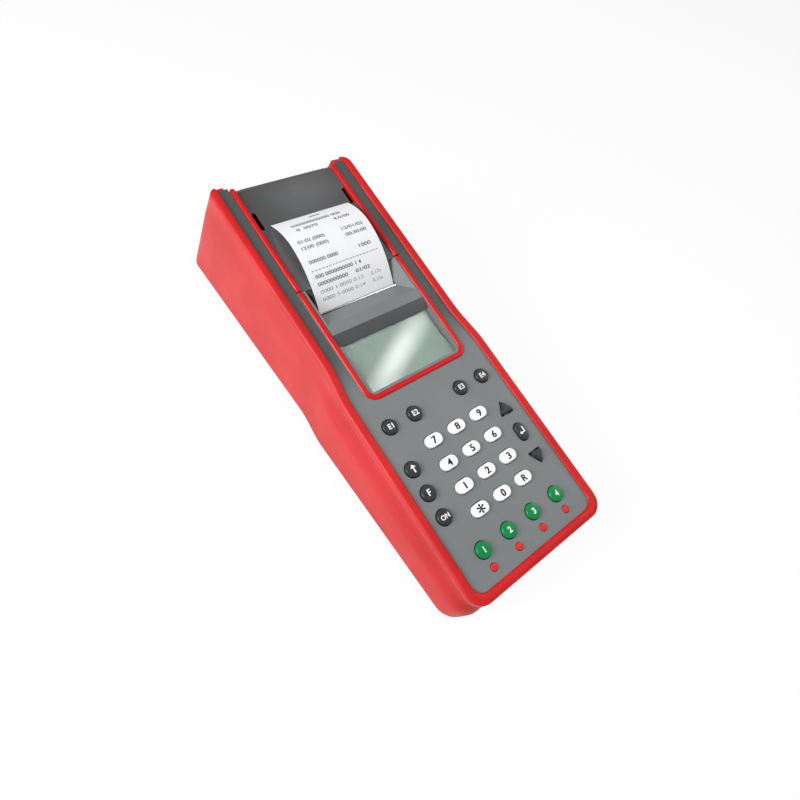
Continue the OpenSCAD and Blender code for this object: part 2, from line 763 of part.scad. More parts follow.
// Battery
module battery_door() {
    color([0.4, 0.42, 0.43]) {
        box(door_half, door_front, door_front + door_length, door_low, door_top);
        box(door_half + tongue, door_front + 2, door_front + door_length - 2, door_low + 0.6, door_top - 0.5);
    }
}
module battery_cells() {
    color([0.2, 0.35, 0.6]) for (i = [0 : cell_count - 1])
        translate([0, cells_y + (i - (cell_count - 1) / 2) * cell_pitch, cell_z]) rotate([0, 90, 0])
            cylinder(h = cell_length, d = cell_d, center = true);
}
module battery_contacts() {
    color([0.8, 0.78, 0.7]) for (side = [-1, 1], i = [0 : cell_count - 1])
        translate([side * (cell_length / 2 + 0.6), cells_y + (i - (cell_count - 1) / 2) * cell_pitch, 0])
            translate([-0.3, -4, tray_top + 0.1]) cube([0.6, 8, cell_d - 4]);
}

// Back
module rear_sockets() {
    color([0.12, 0.12, 0.13]) {
        at_sockets() translate([0, 0, -socket_length]) difference() {
            cylinder(h = socket_length + 1, r = socket_r);
            translate([0, 0, socket_length + 1 - socket_depth])
                cylinder(h = socket_depth + 1, r = socket_bore_r);
        }
        translate([jack_x, 0, 0]) along_back(jack_z) {
            difference() {
                translate([0, 0, -16]) cylinder(h = 17, r = jack_r);
                translate([0, 0, -9]) cylinder(h = 11, r = jack_bore_r);
            }
            translate([0, 0, -10]) cylinder(h = 9, r = jack_pin_r);
        }
    }
}

rubber_sleeve();
upper_case();
lower_case();
case_screws();
display_trim();
display_window();
lcd_module();
main_board();
keypad_mat();
printer_bezel();
tear_bar();
printer_frame();
print_head();
head_springs();
platen_roller();
platen_gear();
idler_gear();
motor_pinion();
feed_motor();
roll_spindle();
paper_roll();
paper_web();
paper_strip();
printer_lid();
lid_trim();
lid_hinge_pin();
battery_door();
battery_cells();
battery_contacts();
rear_sockets();
for (k = keys) key(k);
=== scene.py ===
# %% [markdown]
# # A hand-held timing printer
# The terminal is a wedge: one sloping panel carries the keys, the display and the printer lid, and a red
# rubber sleeve wraps the case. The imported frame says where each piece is, so this script only adds looks.

# %% The frame
import json
import math
import bmesh
import bpy
from mathutils import Matrix, Vector


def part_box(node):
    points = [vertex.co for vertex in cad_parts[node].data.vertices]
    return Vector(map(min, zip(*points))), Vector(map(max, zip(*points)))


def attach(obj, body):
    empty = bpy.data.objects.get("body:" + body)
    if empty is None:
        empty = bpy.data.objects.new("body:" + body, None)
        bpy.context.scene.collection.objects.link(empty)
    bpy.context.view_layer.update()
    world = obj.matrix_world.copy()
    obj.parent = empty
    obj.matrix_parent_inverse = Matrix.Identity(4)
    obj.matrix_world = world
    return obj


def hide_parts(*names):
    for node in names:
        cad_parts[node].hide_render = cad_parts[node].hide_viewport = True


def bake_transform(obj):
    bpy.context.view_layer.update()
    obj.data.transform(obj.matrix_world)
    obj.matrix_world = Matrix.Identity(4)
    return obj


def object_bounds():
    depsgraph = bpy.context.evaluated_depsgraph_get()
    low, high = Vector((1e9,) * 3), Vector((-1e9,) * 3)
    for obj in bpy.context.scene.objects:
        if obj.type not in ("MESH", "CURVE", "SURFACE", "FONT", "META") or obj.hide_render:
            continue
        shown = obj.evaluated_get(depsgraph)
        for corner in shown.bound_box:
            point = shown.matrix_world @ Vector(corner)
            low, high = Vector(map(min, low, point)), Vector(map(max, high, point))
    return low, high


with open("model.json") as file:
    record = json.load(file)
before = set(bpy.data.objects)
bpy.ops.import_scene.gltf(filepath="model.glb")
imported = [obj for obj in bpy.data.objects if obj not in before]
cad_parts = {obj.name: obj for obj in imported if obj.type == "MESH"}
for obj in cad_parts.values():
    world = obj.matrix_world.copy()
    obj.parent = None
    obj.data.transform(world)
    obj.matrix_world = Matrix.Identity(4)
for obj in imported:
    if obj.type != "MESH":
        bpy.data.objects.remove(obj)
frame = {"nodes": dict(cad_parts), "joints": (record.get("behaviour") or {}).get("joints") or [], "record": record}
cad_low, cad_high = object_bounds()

MM = 0.001
nodes = frame["nodes"]
print("frame", [round(v, 4) for v in cad_high - cad_low])

# %% [markdown]
# ## The panel frame
# Nearly everything lies on the sloping panel, so points are written as (across, up the panel, out of it)
# in millimetres. The keys slide straight into the panel, so a key's joint gives the direction out of it,
# and the middle between two keys of the middle column gives the origin.

# %% Panel frame
KEY_RISE = 2.0
ACROSS = Vector((1, 0, 0))
press = {j["child"]: j for j in frame["joints"] if j["type"] == "slide"}
OUT = -Vector(press["key_5"]["axis"]).normalized()
UP = OUT.cross(ACROSS)


def middle(node):
    low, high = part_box(node)
    return (low + high) / 2


key_top = max(v.co.dot(OUT) for v in nodes["key_5"].data.vertices)
between = (middle("key_5") + middle("key_2")) / 2
ORIGIN = between + OUT * (key_top - KEY_RISE * MM - between.dot(OUT))


def panel(u, v, z=0.0):
    """A point of the panel frame, in the row frame, in metres."""
    return ORIGIN + (ACROSS * u + UP * v + OUT * z) * MM


def on_panel(node):
    """Across and up the panel of the middle of a node's top face, in millimetres."""
    points = [(v.co - ORIGIN) / MM for v in nodes[node].data.vertices]
    top = max(p.dot(OUT) for p in points)
    face = [p for p in points if p.dot(OUT) > top - 0.05]
    across = [p.dot(ACROSS) for p in face]
    along = [p.dot(UP) for p in face]
    return (min(across) + max(across)) / 2, (min(along) + max(along)) / 2


TILT_SIN, TILT_COS = UP.z, UP.y
PANEL_Y, PANEL_Z = ORIGIN.y / MM, ORIGIN.z / MM
tilt = math.degrees(math.asin(TILT_SIN))
print("panel origin", [round(v, 2) for v in ORIGIN / MM], "tilt", round(tilt, 2))

# %% [markdown]
# ## Camera, floor and light
# The camera stands to the left of the keypad and looks down at the panel with a moderately wide lens. Its
# place and its two picture axes are given in the panel frame. The studio is a white floor, a soft sky, a
# large lamp on the left for the bright side of the sleeve, and a long lamp whose reflection crosses the
# display glass.

# %% Camera
CAMERA_PLACE = (-181.9, -3.3, 281.1)
CAMERA_RIGHT = (0.767, -0.55, 0.329)
CAMERA_UP = (0.415, 0.818, 0.4)
LENS = 25.68
SENSOR = 36.0


def direction(d):
    return (ACROSS * d[0] + UP * d[1] + OUT * d[2]).normalized()


camera_data = bpy.data.cameras.new("camera")
camera_data.lens = LENS
camera_data.sensor_width = SENSOR
camera = bpy.data.objects.new("camera", camera_data)
bpy.context.scene.collection.objects.link(camera)
right = direction(CAMERA_RIGHT)
back = right.cross(direction(CAMERA_UP)).normalized()
up = back.cross(right)
turned = Matrix((right, up, back)).transposed().to_4x4()
camera.matrix_world = Matrix.Translation(panel(*CAMERA_PLACE)) @ turned
bpy.context.scene.camera = camera
bpy.context.scene.view_settings.view_transform = "Standard"
print("camera at", [round(v, 3) for v in camera.matrix_world.translation])

# %% Floor and sky
FLOOR_SIZE = 12.0
FLOOR_TONE = 0.9
FLOOR_ROUGHNESS = 0.6
FLOOR_GLOW = 0.9
SKY_STRENGTH = 0.2


def link(name, mesh):
    obj = bpy.data.objects.new(name, mesh)
    bpy.context.scene.collection.objects.link(obj)
    return obj


def mesh_object(name, points, faces):
    mesh = bpy.data.meshes.new(name)
    mesh.from_pydata([tuple(p) for p in points], [], faces)
    mesh.update()
    return link(name, mesh)


def value_node(tree_nodes, kind, **settings):
    made = tree_nodes.new(kind)
    for key, value in settings.items():
        setattr(made, key, value)
    return made


def new_material(name):
    made = bpy.data.materials.new(name)
    made.use_nodes = True
    return made, made.node_tree.nodes, made.node_tree.links


def white_for_camera(tree_nodes, links, surface, share):
    """Mixes a share of white glow into a surface where the camera itself looks at it."""
    path = tree_nodes.new("ShaderNodeLightPath")
    glow = tree_nodes.new("ShaderNodeEmission")
    mix = tree_nodes.new("ShaderNodeMixShader")
    scaled = value_node(tree_nodes, "ShaderNodeMath", operation="MULTIPLY")
    scaled.inputs[1].default_value = share
    links.new(path.outputs["Is Camera Ray"], scaled.inputs[0])
    links.new(scaled.outputs[0], mix.inputs[0])
    links.new(surface, mix.inputs[1])
    links.new(glow.outputs[0], mix.inputs[2])
    return mix.outputs[0]


def make_floor():
    s = FLOOR_SIZE / 2
    floor = mesh_object("floor", [(-s, -s, 0), (s, -s, 0), (s, s, 0), (-s, s, 0)], [(0, 1, 2, 3)])
    made, tree_nodes, links = new_material("white floor")
    shader = tree_nodes["Principled BSDF"]
    shader.inputs["Base Color"].default_value = (FLOOR_TONE, FLOOR_TONE, FLOOR_TONE, 1)
    shader.inputs["Roughness"].default_value = FLOOR_ROUGHNESS
    surface = white_for_camera(tree_nodes, links, shader.outputs[0], FLOOR_GLOW)
    links.new(surface, tree_nodes["Material Output"].inputs["Surface"])
    floor.data.materials.append(made)


def make_sky():
    world = bpy.data.worlds.new("sky")
    bpy.context.scene.world = world
    world.use_nodes = True
    shade = world.node_tree.nodes["Background"]
    shade.inputs["Color"].default_value = (1, 1, 1, 1)
    tree_nodes, links = world.node_tree.nodes, world.node_tree.links
    level = tree_nodes.new("ShaderNodeMapRange")
    level.inputs["To Min"].default_value = SKY_STRENGTH
    links.new(tree_nodes.new("ShaderNodeLightPath").outputs["Is Camera Ray"], level.inputs["Value"])
    links.new(level.outputs["Result"], shade.inputs["Strength"])


make_floor()
make_sky()
print("floor", FLOOR_SIZE, "m wide, sky", SKY_STRENGTH)

# %% Lamps
LAMP_TARGET = Vector((0, 0, 0.03))
LAMPS = {  # name: place, size, power
    "left lamp": ((-0.8, 0.15, 0.5), 0.45, 8.5),
    "top lamp": ((0.05, -0.2, 1.1), 0.4, 7.0),
    "right lamp": ((0.9, -0.1, 0.7), 0.5, 1.5),
}


def lamp(name, place, size, power):
    data = bpy.data.lights.new(name, "AREA")
    data.energy = power
    data.size = size
    made = bpy.data.objects.new(name, data)
    bpy.context.scene.collection.objects.link(made)
    aim = (LAMP_TARGET - Vector(place)).to_track_quat("-Z", "Y")
    made.matrix_world = Matrix.Translation(place) @ aim.to_matrix().to_4x4()
    return made


lamps = {name: lamp(name, *settings) for name, settings in LAMPS.items()}
lamps["top lamp"].visible_glossy = False  # or the panel would mirror it
print("lamps", len(lamps))

# %% [markdown]
# ## Reflection cards
# A glossy face looks glossy only where it mirrors something bright, such as a white card. A lamp would do
# too, but it would also light the scene. A card here is a glowing strip that only mirrors see.

# %% Reflection cards
CARD_HEIGHT = 850.0
STREAK_GLOW = 8.0
LID_GLOW = 0.4


def eased(tree_nodes, links, source, start, end, low=0.0, high=1.0):
    """Runs from low to high as the source runs from start to end, with a soft start and end."""
    made = value_node(tree_nodes, "ShaderNodeMapRange", interpolation_type="SMOOTHSTEP")
    for name, value in (("From Min", start), ("From Max", end), ("To Min", low), ("To Max", high)):
        made.inputs[name].default_value = value
    links.new(source, made.inputs["Value"])
    return made.outputs["Result"]


def fade(tree_nodes, links, source):
    """0 at both ends of the 0..1 range of a coordinate, 1 in its middle, eased."""
    fold = value_node(tree_nodes, "ShaderNodeMath", operation="PINGPONG")
    fold.inputs[1].default_value = 0.5
    links.new(source, fold.inputs[0])
    return eased(tree_nodes, links, fold.outputs[0], 0, 0.5)


def card(name, start, end, width, strength):
    """A soft glowing strip above the panel that only mirrors see."""
    a, b = Vector(start), Vector(end)
    side = Vector((b.y - a.y, a.x - b.x)).normalized() * (width / 2)
    corners = [a - side, b - side, b + side, a + side]
    made = mesh_object(name, [panel(c.x, c.y, CARD_HEIGHT) for c in corners], [(0, 1, 2, 3)])
    layer = made.data.uv_layers.new(name="card")
    for loop, uv in zip(layer.data, [(0, 0), (1, 0), (1, 1), (0, 1)]):
        loop.uv = uv
    material, tree_nodes, links = new_material(name)
    split = tree_nodes.new("ShaderNodeSeparateXYZ")
    links.new(tree_nodes.new("ShaderNodeTexCoord").outputs["UV"], split.inputs[0])
    product = value_node(tree_nodes, "ShaderNodeMath", operation="MULTIPLY")
    links.new(fade(tree_nodes, links, split.outputs["X"]), product.inputs[0])
    links.new(fade(tree_nodes, links, split.outputs["Y"]), product.inputs[1])
    power = value_node(tree_nodes, "ShaderNodeMath", operation="MULTIPLY")
    power.inputs[1].default_value = strength
    links.new(product.outputs[0], power.inputs[0])
    glow = tree_nodes.new("ShaderNodeEmission")
    links.new(power.outputs[0], glow.inputs["Strength"])
    links.new(glow.outputs[0], tree_nodes["Material Output"].inputs["Surface"])
    made.data.materials.append(material)
    made.visible_camera = made.visible_diffuse = made.visible_shadow = False


card("display streak", (330, 212), (740, 434), 90, STREAK_GLOW)
card("lid glow", (400, 760), (760, 900), 420, LID_GLOW)
print("cards", CARD_HEIGHT, "mm above the panel")

# %% [markdown]
# ## Finishes
# Every finish is one principled shader fed by noise on Object coordinates, scaled to millimetres: a wide
# noise shifts the colour and the gloss a little, as handling does, and a fine one is the moulded grain.

# %% Material builder
NOISE_LOW, NOISE_HIGH = 0.3, 0.7
GRAIN_DEPTH = 0.0001


def noise(tree_nodes, links, coords, size, detail=3.0, stretch=(1, 1, 1)):
    """Noise whose features are about `size` millimetres across."""
    mapping = tree_nodes.new("ShaderNodeMapping")
    mapping.inputs["Scale"].default_value = [1000 / size / s for s in stretch]
    links.new(coords, mapping.inputs["Vector"])
    made = tree_nodes.new("ShaderNodeTexNoise")
    made.inputs["Scale"].default_value = 1.0
    made.inputs["Detail"].default_value = detail
    links.new(mapping.outputs[0], made.inputs["Vector"])
    return made.outputs["Fac"]


def ranged(tree_nodes, links, source, low, high):
    """Spreads noise, which seldom leaves its middle range, over low to high."""
    made = tree_nodes.new("ShaderNodeMapRange")
    for name, value in (("From Min", NOISE_LOW), ("From Max", NOISE_HIGH), ("To Min", low), ("To Max", high)):
        made.inputs[name].default_value = value
    links.new(source, made.inputs["Value"])
    return made.outputs["Result"]


def shaded(colour, k):
    return (*[min(1.0, c * k) for c in colour], 1.0)


def finish(name, colour, roughness, tone=0.06, tone_size=35, grain=0.15, grain_size=0.5,
           gloss_shift=0.05, stretch=(1, 1, 1)):
    """A finish: colour and gloss that wander a little, and a fine grain."""
    made, tree_nodes, links = new_material(name)
    shader = tree_nodes["Principled BSDF"]
    coords = tree_nodes.new("ShaderNodeTexCoord").outputs["Object"]
    wide = noise(tree_nodes, links, coords, tone_size, 4.0, stretch)
    mix = value_node(tree_nodes, "ShaderNodeMix", data_type="RGBA")
    mix.inputs["A"].default_value = shaded(colour, 1 - tone)
    mix.inputs["B"].default_value = shaded(colour, 1 + tone)
    links.new(ranged(tree_nodes, links, wide, 0, 1), mix.inputs["Factor"])
    links.new(mix.outputs["Result"], shader.inputs["Base Color"])
    links.new(ranged(tree_nodes, links, wide, roughness + gloss_shift, max(0.02, roughness - gloss_shift)),
              shader.inputs["Roughness"])
    if grain:
        fine = noise(tree_nodes, links, coords, grain_size, 2.0, stretch)
        bump = tree_nodes.new("ShaderNodeBump")
        bump.inputs["Strength"].default_value = grain
        bump.inputs["Distance"].default_value = GRAIN_DEPTH
        links.new(fine, bump.inputs["Height"])
        links.new(bump.outputs[0], shader.inputs["Normal"])
    return made


def set_sockets(made, **sockets):
    """Sets inputs of a finish's shader by name, with _ for a space."""
    shader = made.node_tree.nodes["Principled BSDF"]
    for key, value in sockets.items():
        shader.inputs[key.replace("_", " ")].default_value = value
    return made


print("noise range", NOISE_LOW, NOISE_HIGH)

# %% [markdown]
# ## Painted shade, and thin sheets
# The two strips of the panel between the rim and the red rails lie lower than both, in their shade, and
# that shade is painted into their colour. A second piece could be laid there, but a mask on the same Object
# coordinates paints the darkening without an edge. Thin paper is also lit from behind, so its finish passes a
# share of the light through.

# %% Painted channel shade and thin sheets
# Painted shade: where the recessed strips beside the rails begin, and the share of colour they keep
CHANNEL_INSIDE, CHANNEL_OUTSIDE = 0.0388, 0.0396
CHANNEL_START, CHANNEL_FULL = 60.0, 96.0
CHANNEL_SHADE_TONE = 0.42
PAPER_LIGHT_SHARE = 0.25


def darker_channels(made):
    """Paints shade into the two recessed strips of the panel between the sleeve's rim and the red rails."""
    tree_nodes, links = made.node_tree.nodes, made.node_tree.links
    coords = tree_nodes.new("ShaderNodeTexCoord").outputs["Object"]
    split = tree_nodes.new("ShaderNodeSeparateXYZ")
    links.new(coords, split.inputs[0])
    size = value_node(tree_nodes, "ShaderNodeMath", operation="ABSOLUTE")
    links.new(split.outputs["X"], size.inputs[0])
    along = value_node(tree_nodes, "ShaderNodeVectorMath", operation="DOT_PRODUCT")
    along.inputs[1].default_value = UP
    links.new(coords, along.inputs[0])
    outside = eased(tree_nodes, links, size.outputs[0], CHANNEL_INSIDE, CHANNEL_OUTSIDE)
    beside = eased(tree_nodes, links, along.outputs["Value"], panel(0, CHANNEL_START).dot(UP),
                   panel(0, CHANNEL_FULL).dot(UP))
    both = value_node(tree_nodes, "ShaderNodeMath", operation="MULTIPLY")
    links.new(outside, both.inputs[0])
    links.new(beside, both.inputs[1])
    shader = tree_nodes["Principled BSDF"]
    colour = shader.inputs["Base Color"].links[0].from_socket
    dark = value_node(tree_nodes, "ShaderNodeMix", data_type="RGBA", blend_type="MULTIPLY")
    dark.inputs["B"].default_value = (CHANNEL_SHADE_TONE, CHANNEL_SHADE_TONE, CHANNEL_SHADE_TONE, 1)
    links.new(both.outputs[0], dark.inputs["Factor"])
    links.new(colour, dark.inputs["A"])
    links.new(dark.outputs["Result"], shader.inputs["Base Color"])


def let_light_through(made, share):
    """Lets a share of the light pass through a thin sheet."""
    tree_nodes, links = made.node_tree.nodes, made.node_tree.links
    through = tree_nodes.new("ShaderNodeBsdfTranslucent")
    mix = tree_nodes.new("ShaderNodeMixShader")
    mix.inputs[0].default_value = share
    links.new(tree_nodes["Principled BSDF"].outputs[0], mix.inputs[1])
    links.new(through.outputs[0], mix.inputs[2])
    links.new(mix.outputs[0], tree_nodes["Material Output"].inputs["Surface"])


print("channels", CHANNEL_SHADE_TONE, "paper", PAPER_LIGHT_SHARE)

# %% The finishes
red_rubber = set_sockets(finish("red rubber", (0.5, 0.013, 0.014), 0.45, tone=0.09, grain=0.2,
                                grain_size=0.35), Specular_IOR_Level=0.4)
red_plastic = finish("red plastic", (0.5, 0.009, 0.011), 0.34, grain=0.08)
grey_case = finish("grey case", (0.17, 0.18, 0.182), 0.42, tone=0.04, grain=0.25, grain_size=0.3)
# painted shade in the grey case's recessed strips beside the rails
darker_channels(grey_case)
dark_case = finish("dark case", (0.1, 0.105, 0.11), 0.5, tone=0.05, grain=0.3, grain_size=0.4)
smoked_lid = set_sockets(finish("smoked lid", (0.33, 0.333, 0.34), 0.14, tone=0.05, grain=0.02,
                                gloss_shift=0.03), Metallic=0.85)
# Painted shade: a dark grey for the funnel's front facet, which lies in shade; the lid's lip reuses it
facet_shade_grey = finish("facet shade grey", (0.065, 0.068, 0.072), 0.3, tone=0.05, grain=0.1)
white_key = finish("white key", (0.86, 0.86, 0.85), 0.32, tone=0.015, grain=0.04)
dark_key = finish("dark key", (0.03, 0.031, 0.033), 0.34, grain=0.1)
green_key = finish("green key", (0.004, 0.2, 0.055), 0.3, grain=0.06)
red_key = finish("red key", (0.6, 0.02, 0.022), 0.45, grain=0.12)
legend_black = finish("black print", (0.012, 0.012, 0.013), 0.5, grain=0)
legend_white = finish("white print", (0.85, 0.85, 0.85), 0.5, grain=0)
thermal_print = finish("thermal print", (0.06, 0.06, 0.08), 0.7, tone=0.4, tone_size=3, grain=0)
pale_print = finish("pale thermal print", (0.33, 0.34, 0.37), 0.7, tone=0.3, tone_size=3, grain=0)
paper = finish("thermal paper", (0.93, 0.935, 0.95), 0.55, tone=0.012, tone_size=8, grain=0.12,
               grain_size=0.2)
let_light_through(paper, PAPER_LIGHT_SHARE)
steel = set_sockets(finish("brushed steel", (0.62, 0.63, 0.64), 0.28, tone=0.1, tone_size=2, grain=0.2,
                           grain_size=0.4, stretch=(12, 1, 1)), Metallic=1.0)
brass = set_sockets(finish("brass", (0.78, 0.58, 0.27), 0.3, tone=0.08), Metallic=1.0)
black_plastic = finish("black plastic", (0.018, 0.018, 0.02), 0.36, grain=0.15)
black_rubber = finish("black rubber", (0.02, 0.02, 0.021), 0.6, grain=0.4)
gear_nylon = finish("gear nylon", (0.72, 0.7, 0.62), 0.4, grain=0.08)
silicone = finish("grey silicone", (0.35, 0.35, 0.34), 0.5, grain=0.1)
board_green = finish("board lacquer", (0.015, 0.1, 0.045), 0.28, tone=0.2, tone_size=4)
cell_wrap = finish("cell wrap", (0.03, 0.1, 0.3), 0.2, tone=0.1)
lcd_glass = finish("display", (0.4, 0.51, 0.45), 0.3, tone=0.03, tone_size=25, grain=0.02)
window_clear = set_sockets(finish("display window", (0.97, 0.98, 0.97), 0.03, tone=0.01, grain=0,
                                  gloss_shift=0.01), Transmission_Weight=1.0, IOR=1.46)
print("finishes", len(bpy.data.materials))

# %% [markdown]
# ## Softened construction pieces
# Where the construction already has the right shape, the piece only lacks the small radius that a mould
# leaves on each edge. A copy of it is merged, its flat faces are joined, and its sharp edges are bevelled.

# %% Helpers for pieces
SHARP_ANGLE = math.radians(30)
FLAT_ANGLE = math.radians(1)


def finished(obj, name, material, body, replaces=(), smooth=35):
    """Names a piece, gives it its finish and its body, and smooths its shading up to an angle."""
    obj.name = name
    obj.data.name = name
    if material:
        obj.data.materials.clear()
        obj.data.materials.append(material)
    for polygon in obj.data.polygons:
        polygon.use_smooth = True
    obj.data.set_sharp_from_angle(angle=math.radians(smooth))
    if replaces:
        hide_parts(*replaces)
    if body:
        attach(obj, body)
    return obj


def outward(obj):
    """Turns every face of a closed mesh outwards."""
    bm = bmesh.new()
    bm.from_mesh(obj.data)
    bmesh.ops.remove_doubles(bm, verts=bm.verts, dist=1e-7)
    bmesh.ops.recalc_face_normals(bm, faces=bm.faces)
    bm.to_mesh(obj.data)
    bm.free()
    return obj


def applied(obj):
    """Turns an object's modifiers into plain mesh."""
    mesh = bpy.data.meshes.new_from_object(obj.evaluated_get(bpy.context.evaluated_depsgraph_get()))
    obj.modifiers.clear()
    obj.data = mesh
    return obj


body_of = {n: b for b, names in frame["record"]["behaviour"]["bodies"].items() for n in names}


def soften(node, width, material, segments=2):
    """A copy of a construction piece with its sharp edges bevelled, width in millimetres."""
    bm = bmesh.new()
    bm.from_mesh(nodes[node].data)
    bmesh.ops.remove_doubles(bm, verts=bm.verts, dist=1e-6)
    bmesh.ops.dissolve_limit(bm, angle_limit=FLAT_ANGLE, verts=bm.verts, edges=bm.edges)
    sharp = [e for e in bm.edges if e.is_manifold and e.calc_face_angle() > SHARP_ANGLE]
    bmesh.ops.bevel(bm, geom=sharp, offset=width * MM, offset_type="OFFSET", segments=segments,
                    profile=0.5, affect="EDGES", clamp_overlap=True)
    mesh = bpy.data.meshes.new(node)
    bm.to_mesh(mesh)
    bm.free()
    obj = finished(link(node, mesh), node + "_moulded", material, body_of[node], [node], 50)
    modifier = obj.modifiers.new("flat faces lead", "WEIGHTED_NORMAL")
    modifier.keep_sharp = True
    return applied(obj)


def keep(node, material):
    """Leaves a construction piece as it is and gives it its finish."""
    mesh = nodes[node].data
    mesh.materials.clear()
    mesh.materials.append(material)


# %% [markdown]
# ## The rubber sleeve
# The sleeve is one moulding: a round bead lies over the panel's edge, and the wall below it falls to the
# floor and turns under the case. Beside the keypad a groove runs under the bead and the skirt flares. It
# follows a rule, so it is a closed ring of stations round the case, each carrying the same closed profile.
# The openings for the lid and the sockets are then cut out of its back.

# %% Sleeve sizes
PANEL_FRONT = 59.3
KEYPAD_HALF = 48.5
PRINTER_HALF = 45.7
WAIST_START, WAIST_END = 61.0, 90.0
CORNER = 7.0
BAND = 6.0
SKIRT = 8.55
RIM = 2.0
LIP_UNDER = -9.0
LIP_INSET = 14.0
CASE_SIDE = 3.1
CASE_FLOOR = 2.5
BACK_LEAN = 22.0
BACK_FLOOR_Y = cad_high.y / MM
PANEL_BACK = (BACK_FLOOR_Y - CASE_SIDE - BACK_LEAN - PANEL_Y) / TILT_COS
BACK_TOP_Z = PANEL_Z + PANEL_BACK * TILT_SIN
LEAN = BACK_LEAN / BACK_TOP_Z


def smooth_step(t):
    t = max(0.0, min(1.0, t))
    return t * t * (3 - 2 * t)


def waist(v):
    """1 beside the keypad, 0 beside the printer."""
    return 1 - smooth_step((v - WAIST_START) / (WAIST_END - WAIST_START))


def half_width(v):
    return PRINTER_HALF + (KEYPAD_HALF - PRINTER_HALF) * waist(v)


def floor_depth(v, height):
    """Depth below the panel at which a point up the panel is that high above the floor."""
    return (height - PANEL_Z - v * TILT_SIN) / TILT_COS


def back_v(grow, depth):
    """How far up the panel the back face is, at a depth."""
    inset = max(0.0, BAND - grow) if grow > LIP_UNDER + 1 else LIP_INSET
    reach = BACK_FLOOR_Y - inset - PANEL_Y + depth * TILT_SIN - LEAN * (PANEL_Z + depth * TILT_COS)
    return reach / (TILT_COS + LEAN * TILT_SIN)


print("panel back", round(PANEL_BACK, 1), "top of the back", round(BACK_TOP_Z, 1))

# %% Sleeve profile
BEAD_STEPS = 9
WALL_STEPS = 9


def sleeve_profile(v, bead):
    """Closed profile at a station: (grow, depth or None, height or None). The bead fades from 1 to 0."""
    w = waist(v)
    low, high = -1.2 + 1.65 * bead, -0.6 + (RIM + 0.6) * bead
    points = [(CASE_SIDE, low - 0.35, None), (0.5, low - 0.35, None)]
    for i in range(BEAD_STEPS + 1):
        a = math.pi * i / BEAD_STEPS
        points.append((3.05 - 2.95 * math.cos(a), low + (high - low) * math.sin(a), None))
    groove = [(6.1, -2.2), (5.7, -4.2), (4.6, -5.6), (4.1, -7.4), (4.1, -9.2), (4.7, -11.0), (6.1, -13.0),
              (7.6, -15.4), (SKIRT, -19.0)]
    for i in range(WALL_STEPS):
        plain = 6.1 + 2.3 * smooth_step(-groove[i][1] / 30)
        points.append((groove[i][0] * w + plain * (1 - w), groove[i][1], None))
    points += [(SKIRT, None, 9.0), (SKIRT - 0.1, None, 5.0), (SKIRT - 0.6, None, 2.6),
               (SKIRT - 1.6, None, 1.0), (SKIRT - 3.2, None, 0.15), (SKIRT - 5.0, None, 0.0),
               (LIP_UNDER + 1, None, 0.0), (LIP_UNDER, None, 0.8), (LIP_UNDER, None, CASE_FLOOR),
               (CASE_SIDE, None, CASE_FLOOR)]
    return points


print("points in a profile", len(sleeve_profile(0, 1)))

# %% Sleeve stations
SIDE_MARKS = [-45, -35, -25, -15, -5, 5, 15, 25, 35, 45, 55]
SIDE_MARKS += [WAIST_START + 2.9 * i for i in range(11)] + [100, 112, 125, 140]
UPPER_SHARES = [0.85, 0.7, 0.55, 0.4, 0.25, 0.12]
BACK_SHARES = [0.0, 0.2, 0.4, 0.6, 0.8]
FRONT_SHARES = [0.8, 0.6, 0.4, 0.2, 0.0]
CORNER_STEPS = 7
BACK_GUESS = 200.0


def corner_radius(grow):
    return max(1.5, CORNER + 0.6 * grow)


def back_radius(grow):
    return max(1.5, grow + 1.0)


def resolve(v, depth, height):
    return depth if depth is not None else floor_depth(v, height)


def settled_back(grow, depth, height):
    """Where the back face is for a profile point. Its depth depends on the answer, so it is repeated."""
    v = BACK_GUESS
    for _ in range(4):
        v = back_v(grow, resolve(v, depth, height))
    return v


def back_station(share):
    def place(grow, depth, height):
        return share * (PRINTER_HALF + grow - back_radius(grow)), settled_back(grow, depth, height)
    return place


def back_corner(step):
    a = math.pi / 2 * (1 - step / CORNER_STEPS)

    def place(grow, depth, height):
        r = back_radius(grow)
        v = settled_back(grow, depth, height) - r + r * math.sin(a)
        return PRINTER_HALF + grow - r + r * math.cos(a), v
    return place


def upper_side(share):
    def place(grow, depth, height):
        reach = settled_back(grow, depth, height) - back_radius(grow) - SIDE_MARKS[-1]
        return PRINTER_HALF + grow, SIDE_MARKS[-1] + reach * share
    return place


def side_station(v):
    return lambda grow, depth, height: (half_width(v) + grow, v)


def front_corner(step):
    a = -math.pi / 2 * step / CORNER_STEPS

    def place(grow, depth, height):
        r = corner_radius(grow)
        return KEYPAD_HALF + grow - r + r * math.cos(a), -PANEL_FRONT - grow + r + r * math.sin(a)
    return place


def front_station(share):
    def place(grow, depth, height):
        return (KEYPAD_HALF + grow - corner_radius(grow)) * share, -PANEL_FRONT - grow
    return place


half_ring = [(back_station(s), PANEL_BACK, 0.0) for s in BACK_SHARES]
half_ring += [(back_corner(i), PANEL_BACK, math.sqrt(1 - (1 - i / CORNER_STEPS) ** 2))
              for i in range(CORNER_STEPS + 1)]
half_ring += [(upper_side(s), PANEL_BACK, 1.0) for s in UPPER_SHARES]
half_ring += [(side_station(v), v, 1.0) for v in reversed(SIDE_MARKS)]
half_ring += [(front_corner(i), -PANEL_FRONT, 1.0) for i in range(CORNER_STEPS + 1)]
half_ring += [(front_station(s), -PANEL_FRONT, 1.0) for s in FRONT_SHARES]
print("stations on one side", len(half_ring))


